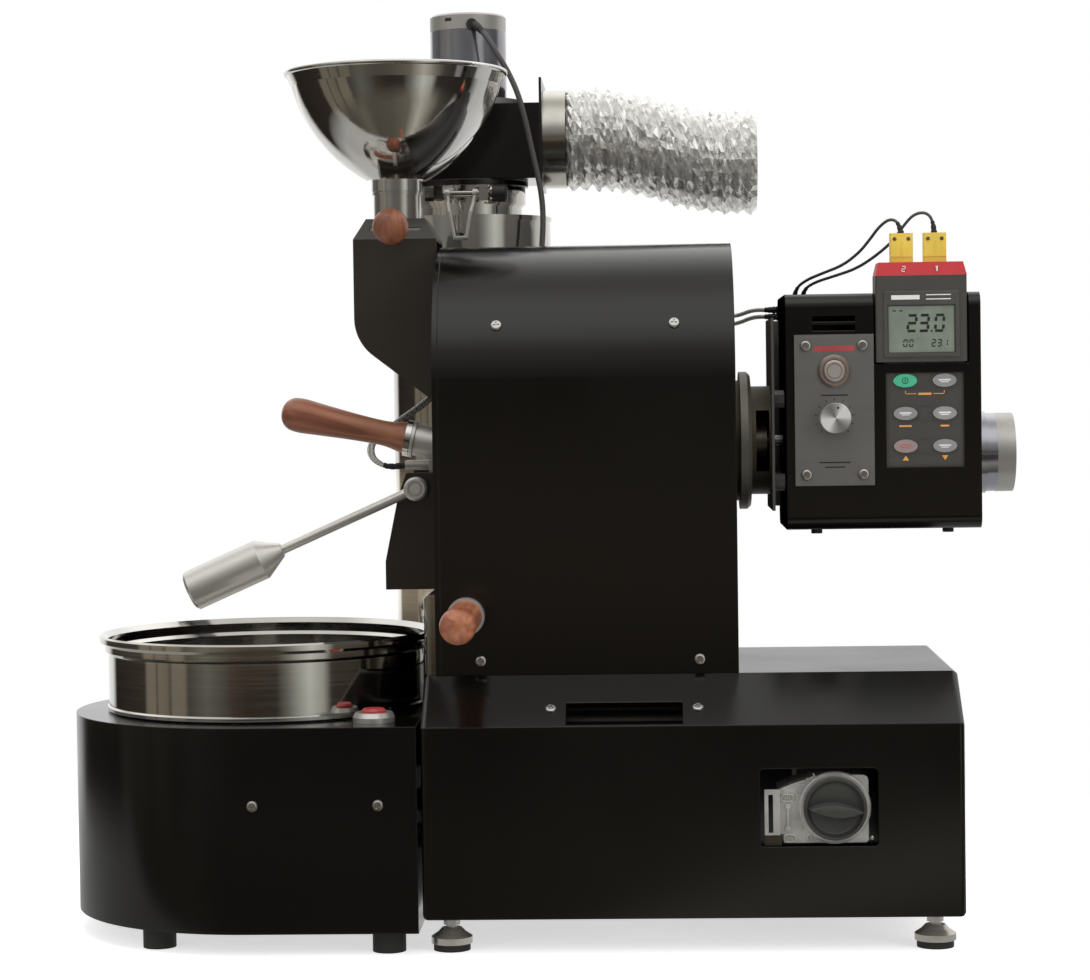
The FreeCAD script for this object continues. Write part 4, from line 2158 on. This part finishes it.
def make_panel():
    """The control panel with the bezel and switch bodies, the button and the speed knob."""
    x0 = BOX_START + PANEL_OFFSET
    z0 = BOX_BOTTOM + PANEL_RISE
    face = BOX_FRONT - PANEL_THICK
    plate = block(x0, x0 + PANEL_WIDTH, face, BOX_FRONT, z0, z0 + PANEL_HEIGHT)
    button = panel_point(BUTTON_DROP)
    knob = panel_point(KNOB_DROP)
    out = Vector(0, -1, 0)
    body_outer = BUTTON_RADIUS + BUTTON_BODY_WALL
    body = turned(
        [
            (0, -BUTTON_BODY_DEPTH),
            (body_outer, -BUTTON_BODY_DEPTH),
            (body_outer, PANEL_THICK),
            (BEZEL_RADIUS, PANEL_THICK),
            (BEZEL_RADIUS, PANEL_THICK + BEZEL_HEIGHT / 2),
            (BEZEL_RADIUS - BEZEL_HEIGHT / 2, PANEL_THICK + BEZEL_HEIGHT),
            (BUTTON_RADIUS + GAP, PANEL_THICK + BEZEL_HEIGHT),
            (BUTTON_RADIUS + GAP, -BUTTON_BODY_DEPTH / 2),
            (0, -BUTTON_BODY_DEPTH / 2),
        ],
        button,
        out,
    )
    pot = turned(
        [
            (0, -WALL - POT_DEPTH),
            (POT_RADIUS, -WALL - POT_DEPTH),
            (POT_RADIUS, -WALL),
            (KNOB_SPINDLE_RADIUS + WALL - GAP, -WALL),
            (KNOB_SPINDLE_RADIUS + WALL - GAP, PANEL_THICK),
            (KNOB_SPINDLE_RADIUS + RUNNING_GAP, PANEL_THICK),
            (KNOB_SPINDLE_RADIUS + RUNNING_GAP, -WALL - POT_DEPTH / 2),
            (0, -WALL - POT_DEPTH / 2),
        ],
        knob,
        out,
    )
    deep = Vector(0, OVERRUN, 0)
    tools = [
        bar(button - deep, button + deep, body_outer + SCREW_HOLE_GAP),
        bar(knob - deep, knob + deep, KNOB_SPINDLE_RADIUS + WALL),
    ]
    tools += [screw_hole(place, way) for place, way in panel_screws()]
    keep("control_panel", group([cut_all(plate, tools), body, pot]))

    low = -BUTTON_BODY_DEPTH / 2 + BUTTON_TRAVEL + GAP
    high = PANEL_THICK + BEZEL_HEIGHT + BUTTON_RISE
    cap = turned(
        [
            (0, low),
            (BUTTON_RADIUS, low),
            (BUTTON_RADIUS, high - BUTTON_RISE / 2),
            (BUTTON_RADIUS - BUTTON_RISE / 2, high),
            (0, high),
        ],
        button,
        out,
    )
    keep("power_button", cap)

    knob_low = PANEL_THICK + GAP
    knob_top = knob_low + KNOB_DEPTH
    dial = turned(
        [
            (0, -WALL - POT_DEPTH / 2 + GAP),
            (KNOB_SPINDLE_RADIUS, -WALL - POT_DEPTH / 2 + GAP),
            (KNOB_SPINDLE_RADIUS, knob_low),
            (KNOB_RADIUS, knob_low),
            (KNOB_RADIUS, knob_top - GAP),
            (KNOB_RADIUS - GAP, knob_top),
            (0, knob_top),
        ],
        knob,
        out,
    )
    keep("speed_knob", dial)


def key_places():
    """The middles of the thermometer's keys, row by row."""
    top = BOX_BOTTOM + KEY_WINDOW_HIGH - KEY_TOP_DROP
    found = []
    for row in range(KEY_ROWS):
        for column in range(KEY_COLUMNS):
            x = KEY_X + (column - (KEY_COLUMNS - 1) / 2) * KEY_COLUMN
            found.append(Vector(x, 0, top - row * KEY_ROW))
    return found


def key_solid(centre, front, back, margin):
    """An oval key, or its pocket where a margin is given."""
    oval = Part.Ellipse(Vector(0, 0, 0), KEY_WIDTH / 2 + margin, KEY_HEIGHT / 2 + margin)
    solid = Part.Face(Part.Wire([oval.toShape()])).extrude(Vector(0, 0, back - front))
    turn = FreeCAD.Rotation(Vector(1, 0, 0), -QUARTER_TURN)
    solid.Placement = FreeCAD.Placement(Vector(centre.x, front, centre.z), turn)
    return solid


def make_meter():
    """The thermometer in the box's notch, with its cap, keys and plugs."""
    half = METER_WIDTH / 2
    foot = BOX_BOTTOM + METER_HEAD_FOOT
    head_top = foot + METER_HEAD - METER_CAP_HEIGHT
    back = METER_FRONT + METER_DEPTH
    head = block(METER_X - half, METER_X + half, METER_FRONT, back, foot, head_top)
    head = softened(head, METER_ROUND, Vector(0, 0, 1))
    body_front = BOX_FRONT + WALL + GAP
    body = block(
        KEY_X - METER_BODY_WIDTH / 2,
        KEY_X + METER_BODY_WIDTH / 2,
        body_front,
        back,
        BOX_BOTTOM + METER_BODY_FOOT,
        foot,
    )
    display_low = foot + DISPLAY_RISE
    recess = block(
        METER_X - DISPLAY_WIDTH / 2,
        METER_X + DISPLAY_WIDTH / 2,
        METER_FRONT - OVERRUN,
        METER_FRONT + DISPLAY_RECESS,
        display_low,
        display_low + DISPLAY_HEIGHT,
    )
    tools = [recess]
    pocket_back = body_front + KEY_DEPTH + KEY_TRAVEL
    for centre in key_places():
        tools.append(key_solid(centre, body_front - OVERRUN, pocket_back, RUNNING_GAP))
    shell = cut_all(fused([head, body]), tools)
    cap_low = [
        Vector(METER_X - half, METER_FRONT, head_top),
        Vector(METER_X + half, METER_FRONT, head_top),
        Vector(METER_X + half, back, head_top),
        Vector(METER_X - half, back, head_top),
    ]
    cap_top = [
        Vector(METER_X - half + METER_CAP_TAPER, METER_FRONT + METER_CAP_TAPER, head_top + METER_CAP_HEIGHT),
        Vector(METER_X + half - METER_CAP_TAPER, METER_FRONT + METER_CAP_TAPER, head_top + METER_CAP_HEIGHT),
        Vector(METER_X + half - METER_CAP_TAPER, back - METER_CAP_TAPER, head_top + METER_CAP_HEIGHT),
        Vector(METER_X - half + METER_CAP_TAPER, back - METER_CAP_TAPER, head_top + METER_CAP_HEIGHT),
    ]
    cap = Part.makeLoft(
        [Part.makePolygon(cap_low + cap_low[:1]), Part.makePolygon(cap_top + cap_top[:1])],
        True,
        True,
    )
    keep("thermometer", group([shell, cap]))

    for number, centre in enumerate(key_places(), 1):
        front = body_front - KEY_PROUD
        keep("meter_key_%d" % number, key_solid(centre, front, body_front + KEY_DEPTH, -RUNNING_GAP))

    plug_low = head_top + METER_CAP_HEIGHT
    middle = METER_FRONT + METER_DEPTH / 2
    plugs = []
    for step in range(2):
        x = plug_x(step)
        plug = block(
            x - PLUG_WIDTH / 2,
            x + PLUG_WIDTH / 2,
            middle - PLUG_DEPTH / 2,
            middle + PLUG_DEPTH / 2,
            plug_low,
            plug_low + PLUG_HEIGHT,
        )
        plugs.append(softened(plug, PLUG_ROUND, Vector(0, 0, 1)))
    keep("thermocouple_plugs", group(plugs))


# Chaff can and exhaust
def make_can():
    """The chaff can with its inlet spigot and clip hook, and the shelf that carries it."""
    centre = Vector(CAN_START, CAN_BACK, CAN_LIFT)
    inner = CAN_RADIUS - CAN_WALL
    hole = STACK_GASKET_RADIUS - STACK_WALL - STACK_WALL
    can = turned(
        [
            (0, 0),
            (CAN_RADIUS, 0),
            (CAN_RADIUS, CAN_HEIGHT - CAN_BEAD_HEIGHT),
            (CAN_RADIUS + CAN_BEAD, CAN_HEIGHT - CAN_BEAD_HEIGHT),
            (CAN_RADIUS + CAN_BEAD, CAN_HEIGHT),
            (hole, CAN_HEIGHT),
            (hole, CAN_HEIGHT - CAN_WALL),
            (inner, CAN_HEIGHT - CAN_WALL),
            (inner, CAN_WALL),
            (0, CAN_WALL),
        ],
        centre,
        Vector(0, 0, 1),
    )
    z = BASE_TOP + SPIGOT_TUBE_LIFT
    near = Vector(CAN_START, CASING_SIDE, z)
    far = Vector(CAN_START, CAN_BACK - inner + CAN_WALL, z)
    tube = bar(near, far, SPIGOT_TUBE_RADIUS)
    tube = tube.cut(bar(centre, centre + Vector(0, 0, CAN_HEIGHT), inner))
    flange = bar(near, near + Vector(0, SPIGOT_FLANGE_THICK, 0), SPIGOT_FLANGE_RADIUS)
    root_y = CAN_BACK - CAN_RADIUS + CAN_WALL / 2
    tip_z = CAN_TOP - CLIP_TIP_DROP
    hook_x = clip_x() - HOOK_SIDE
    hook = prism(
        [
            Vector(hook_x, root_y, tip_z + HOOK_GAP),
            Vector(hook_x, root_y - HOOK_REACH, tip_z + HOOK_GAP + HOOK_RISE),
            Vector(hook_x, root_y - HOOK_REACH, tip_z + HOOK_HEIGHT),
            Vector(hook_x, root_y, tip_z + HOOK_HEIGHT),
        ],
        Vector(HOOK_SIDE + HOOK_SIDE, 0, 0),
    )
    can = fused([can, tube, flange, hook])
    bore = bar(near - Vector(0, OVERRUN, 0), far + Vector(0, OVERRUN, 0), SPIGOT_TUBE_RADIUS - CAN_WALL)
    keep("chaff_can", can.cut(bore))

    shelf_front = BASE_SIDE - BEVEL_RUN / 2
    shelf = block(
        CAN_START - SHELF_SIDE,
        CAN_START + SHELF_SIDE,
        shelf_front,
        CAN_BACK + SHELF_SIDE,
        CAN_LIFT - SHELF_THICK,
        CAN_LIFT,
    )
    leg = block(
        CAN_START - SHELF_SIDE,
        CAN_START + SHELF_SIDE,
        BASE_SIDE,
        BASE_SIDE + SHELF_THICK,
        CAN_LIFT - SHELF_DROP,
        CAN_LIFT - SHELF_THICK,
    )
    gussets = []
    for side in (-1, 1):
        x = CAN_START + side * (SHELF_SIDE - SHELF_THICK / 2) - SHELF_THICK / 2
        gussets.append(
            prism(
                [
                    Vector(x, BASE_SIDE, CAN_LIFT - SHELF_THICK),
                    Vector(x, BASE_SIDE, CAN_LIFT - SHELF_DROP),
                    Vector(x, CAN_BACK + SHELF_SIDE, CAN_LIFT - SHELF_THICK),
                ],
                Vector(SHELF_THICK, 0, 0),
            )
        )
    keep("can_shelf", fused([shelf, leg] + gussets))


def clamp_axis():
    """A point on the axis of the clamp's rod."""
    y = CAN_BACK - STACK_RADIUS - EAR_LENGTH + CLAMP_ROD_RADIUS * 3
    return Vector(CAN_START, y, CAN_TOP + CLAMP_LIFT)


def clip_x():
    """The middle of the wire clip."""
    return CAN_START + (EAR_LEFT + EAR_THICK + EAR_RIGHT) / 2


def make_stack():
    """The stack on the can's lid with its clamp band, the clamp's rod and the wire clip."""
    gasket_bore = STACK_GASKET_RADIUS - STACK_WALL - STACK_WALL
    bore = STACK_RADIUS - STACK_WALL
    tube = turned(
        [
            (gasket_bore, 0),
            (STACK_GASKET_RADIUS, 0),
            (STACK_GASKET_RADIUS, STACK_GASKET),
            (STACK_RADIUS, STACK_GASKET),
            (STACK_RADIUS, STACK_TOP),
            (bore, STACK_TOP),
            (bore, STACK_GASKET + STACK_WALL),
            (gasket_bore, STACK_GASKET + STACK_WALL),
        ],
        Vector(CAN_START, CAN_BACK, CAN_TOP),
        Vector(0, 0, 1),
    )
    middle = clamp_axis()
    low = middle.z - BAND_WIDTH / 2
    band = pipe(
        Vector(CAN_START, CAN_BACK, low),
        Vector(CAN_START, CAN_BACK, low + BAND_WIDTH),
        STACK_RADIUS + BAND_THICK,
        STACK_RADIUS - STACK_WALL / 2,
    )
    ears = []
    core = bar(
        Vector(CAN_START, CAN_BACK, low - OVERRUN),
        Vector(CAN_START, CAN_BACK, low + BAND_WIDTH + OVERRUN),
        STACK_RADIUS,
    )
    for offset in (EAR_LEFT, EAR_RIGHT):
        x = CAN_START + offset
        ear = block(
            x,
            x + EAR_THICK,
            CAN_BACK - STACK_RADIUS - EAR_LENGTH,
            CAN_BACK,
            middle.z - EAR_HEIGHT / 2,
            middle.z + EAR_HEIGHT / 2,
        )
        ears.append(ear.cut(core))
    stack = fused([tube, band] + ears)
    start = Vector(CAN_START + EAR_LEFT - CLAMP_NUT_LENGTH, middle.y, middle.z)
    end = Vector(CAN_START + EAR_RIGHT + EAR_THICK + CLAMP_KNOB_LENGTH, middle.y, middle.z)
    hole = bar(start, end, CLAMP_ROD_RADIUS + RUNNING_GAP)
    keep("fan_stack", stack.cut(hole))

    gap = Vector(GAP, 0, 0)
    knob_start = Vector(CAN_START + EAR_RIGHT + EAR_THICK, middle.y, middle.z) + gap
    nut_end = Vector(CAN_START + EAR_LEFT, middle.y, middle.z) - gap
    rod = bar(nut_end, knob_start, CLAMP_ROD_RADIUS)
    nut = hexagon(nut_end - Vector(CLAMP_NUT_LENGTH, 0, 0), nut_end, CLAMP_NUT_ACROSS)
    knob = turned(
        [
            (0, 0),
            (CLAMP_KNOB_RADIUS - WALL, 0),
            (CLAMP_KNOB_RADIUS, WALL),
            (CLAMP_KNOB_RADIUS, CLAMP_KNOB_LENGTH - WALL),
            (CLAMP_KNOB_RADIUS - WALL, CLAMP_KNOB_LENGTH),
            (0, CLAMP_KNOB_LENGTH),
        ],
        knob_start,
        Vector(1, 0, 0),
    )
    keep("clamp_screw", fused([rod, nut, knob]))

    x = clip_x()
    knee_y = CAN_BACK - CAN_RADIUS - CLIP_STANDOFF
    eye_inner = CLAMP_ROD_RADIUS + RUNNING_GAP
    eye_outer = eye_inner + CLIP_EYE_WALL
    shapes = []
    tips = []
    for side in (-1, 1):
        end = Vector(x + side * CLIP_WIDTH / 2, middle.y, middle.z)
        inner_end = end - Vector(side * CLIP_EYE_LENGTH, 0, 0)
        shapes.append(pipe(inner_end, end, eye_outer, eye_inner))
        mid = (end + inner_end) * 0.5
        knee = Vector(x + side * CLIP_KNEE_WIDTH / 2, knee_y, CAN_TOP + CLIP_KNEE_RISE)
        tip = Vector(x + side * CLIP_TIP_WIDTH / 2, knee_y, CAN_TOP - CLIP_TIP_DROP)
        way = knee - mid
        way.normalize()
        shapes.append(bar(mid + way * (eye_outer - CLIP_EYE_WALL / 2), knee, CLIP_WIRE))
        shapes.append(Part.makeSphere(CLIP_WIRE, knee))
        shapes.append(bar(knee, tip, CLIP_WIRE))
        shapes.append(Part.makeSphere(CLIP_WIRE, tip))
        tips.append(tip)
    shapes.append(bar(tips[0], tips[1], CLIP_WIRE))
    keep("wire_clip", fused(shapes))


def make_exhaust_fan():
    """The exhaust fan's housing, collar, wheel and motor."""
    side = FAN_BOX_DEPTH / 2
    outer = block(FAN_BOX_START, FAN_BOX_END, CAN_BACK - side, CAN_BACK + side, STACK_END, FAN_TOP)
    inner = block(
        FAN_BOX_START + WALL,
        FAN_BOX_END - WALL,
        CAN_BACK - side + WALL,
        CAN_BACK + side - WALL,
        STACK_END + WALL,
        FAN_TOP - WALL,
    )
    z = STACK_END + DUCT_COLLAR_RISE
    outlet_radius = min(DUCT_COLLAR_RADIUS - DUCT_COLLAR_WALL, FAN_BOX_HEIGHT / 2 - WALL)
    inlet = bar(
        Vector(CAN_START, CAN_BACK, STACK_END - OVERRUN),
        Vector(CAN_START, CAN_BACK, STACK_END + OVERRUN),
        FAN_INLET_RADIUS,
    )
    outlet = bar(
        Vector(FAN_BOX_END - OVERRUN, CAN_BACK, STACK_END + FAN_BOX_HEIGHT / 2),
        Vector(FAN_BOX_END + OVERRUN, CAN_BACK, STACK_END + FAN_BOX_HEIGHT / 2),
        outlet_radius,
    )
    shaft_hole = bar(
        Vector(CAN_START, CAN_BACK, FAN_TOP - OVERRUN),
        Vector(CAN_START, CAN_BACK, FAN_TOP + OVERRUN),
        FAN_SHAFT_RADIUS + WALL,
    )
    foot = bar(
        Vector(CAN_START, CAN_BACK, STACK_END - FAN_FOOT),
        Vector(CAN_START, CAN_BACK, STACK_END),
        FAN_FOOT_RADIUS,
    )
    housing = fused([outer, foot])
    keep("fan_housing", cut_all(housing, [inner, inlet, outlet, shaft_hole]))

    plate_start = FAN_BOX_END
    collar_start = plate_start + FAN_END_THICK
    plate = block(
        plate_start,
        collar_start,
        CAN_BACK - side,
        CAN_BACK + side,
        STACK_END - FAN_END_LOW,
        STACK_END + FAN_END_HIGH,
    )
    collar = bar(
        Vector(collar_start, CAN_BACK, z),
        Vector(collar_start + DUCT_COLLAR_LENGTH, CAN_BACK, z),
        DUCT_COLLAR_RADIUS,
    )
    through = bar(
        Vector(plate_start - OVERRUN, CAN_BACK, STACK_END + FAN_BOX_HEIGHT / 2),
        Vector(collar_start, CAN_BACK, STACK_END + FAN_BOX_HEIGHT / 2),
        outlet_radius,
    )
    collar_bore = bar(
        Vector(collar_start, CAN_BACK, z),
        Vector(collar_start + DUCT_COLLAR_LENGTH + OVERRUN, CAN_BACK, z),
        DUCT_COLLAR_RADIUS - DUCT_COLLAR_WALL,
    )
    keep("duct_collar", cut_all(fused([plate, collar]), [through, collar_bore]))

    base = Vector(CAN_START, CAN_BACK, FAN_TOP)
    motor = turned(
        [
            (0, 0),
            (FAN_MOTOR_PLATE_RADIUS, 0),
            (FAN_MOTOR_PLATE_RADIUS, FAN_MOTOR_PLATE),
            (FAN_MOTOR_RADIUS, FAN_MOTOR_PLATE),
            (FAN_MOTOR_RADIUS, FAN_MOTOR_HEIGHT + FAN_MOTOR_CAP - WALL),
            (FAN_MOTOR_RADIUS - WALL, FAN_MOTOR_HEIGHT + FAN_MOTOR_CAP),
            (0, FAN_MOTOR_HEIGHT + FAN_MOTOR_CAP),
        ],
        base,
        Vector(0, 0, 1),
    )
    bore = bar(
        base - Vector(0, 0, OVERRUN),
        base + Vector(0, 0, FAN_SHAFT_DEPTH + OVERRUN),
        FAN_SHAFT_RADIUS + BEARING_BORE_GAP,
    )
    keep("fan_motor", motor.cut(bore))
    keep("exhaust_fan", impeller(base, -1, EXHAUST_FAN_RADIUS, EXHAUST_FAN_HEIGHT))


def duct_height(share):
    """How far the duct has dropped at a share of its length, as a smooth step."""
    reach = (share - DUCT_START_SHARE) / (DUCT_END_SHARE - DUCT_START_SHARE)
    reach = min(max(reach, 0), 1)
    return -DUCT_DROP * (1 - math.cos(math.pi * reach)) / 2


def duct_ring(share, radius):
    """One circle of the duct, square to its middle line."""
    start = FAN_BOX_END + FAN_END_THICK + DUCT_COLLAR_LENGTH
    z = STACK_END + DUCT_COLLAR_RISE
    step = 1 / (DUCT_RIBS * 4)
    run = 2 * step * DUCT_LENGTH
    pitch = math.atan2(duct_height(share + step) - duct_height(share - step), run)
    ring = Part.Wire([Part.Circle(Vector(0, 0, 0), Vector(0, 0, 1), radius).toShape()])
    turn = FreeCAD.Rotation(Vector(0, 1, 0), QUARTER_TURN - math.degrees(pitch))
    place = Vector(start + share * DUCT_LENGTH, CAN_BACK, z + duct_height(share))
    ring.Placement = FreeCAD.Placement(place, turn)
    return ring


def make_duct():
    """The ribbed foil duct stub: a ruled loft through four circles a rib, with its bore."""
    skins = []
    for inset in (0, DUCT_WALL):
        rings = []
        for rib in range(DUCT_RIBS):
            for along, rise in DUCT_RIB_SHARES:
                share = (rib + along) / DUCT_RIBS
                radius = DUCT_VALLEY_RADIUS + rise * (DUCT_RADIUS - DUCT_VALLEY_RADIUS) - inset
                rings.append(duct_ring(share, radius))
        rings.append(duct_ring(1, DUCT_VALLEY_RADIUS - inset))
        skins.append(Part.makeLoft(rings, True, True))
    keep("exhaust_duct", skins[0].cut(skins[1]))


make_base()
make_feet()
make_burner()
make_valve()
make_casing()
make_front_plate()
make_skirt()
make_drum()
make_bearing_housing()
make_damper()
make_upper_chute()
make_gate()
make_hopper()
make_discharge()
make_sampler()
make_probes()
make_cooler()
make_bin()
make_cooler_switch()
make_box()
make_panel()
make_meter()
make_can()
make_stack()
make_exhaust_fan()
make_duct()
make_leads()
make_screws()

# The origin goes to the ground under the middle of the whole machine's box.
whole = FreeCAD.BoundBox()
for shape in pieces.values():
    whole.add(shape.BoundBox)
middle = Vector(whole.Center.x, whole.Center.y, 0)
print("moved by", round(-middle.x, 3), round(-middle.y, 3), "ground at", round(whole.ZMin, 3))
os.makedirs("parts", exist_ok=True)
for name, shape in pieces.items():
    shape.translate(-middle)
    shape.exportStep("parts/%s.step" % name)
    valid = "ok" if shape.isValid() else "NOT VALID"
    print("%-20s %2d solids %9.0f mm3 %s" % (name, len(shape.Solids), shape.Volume, valid))
print(len(pieces), "nodes")
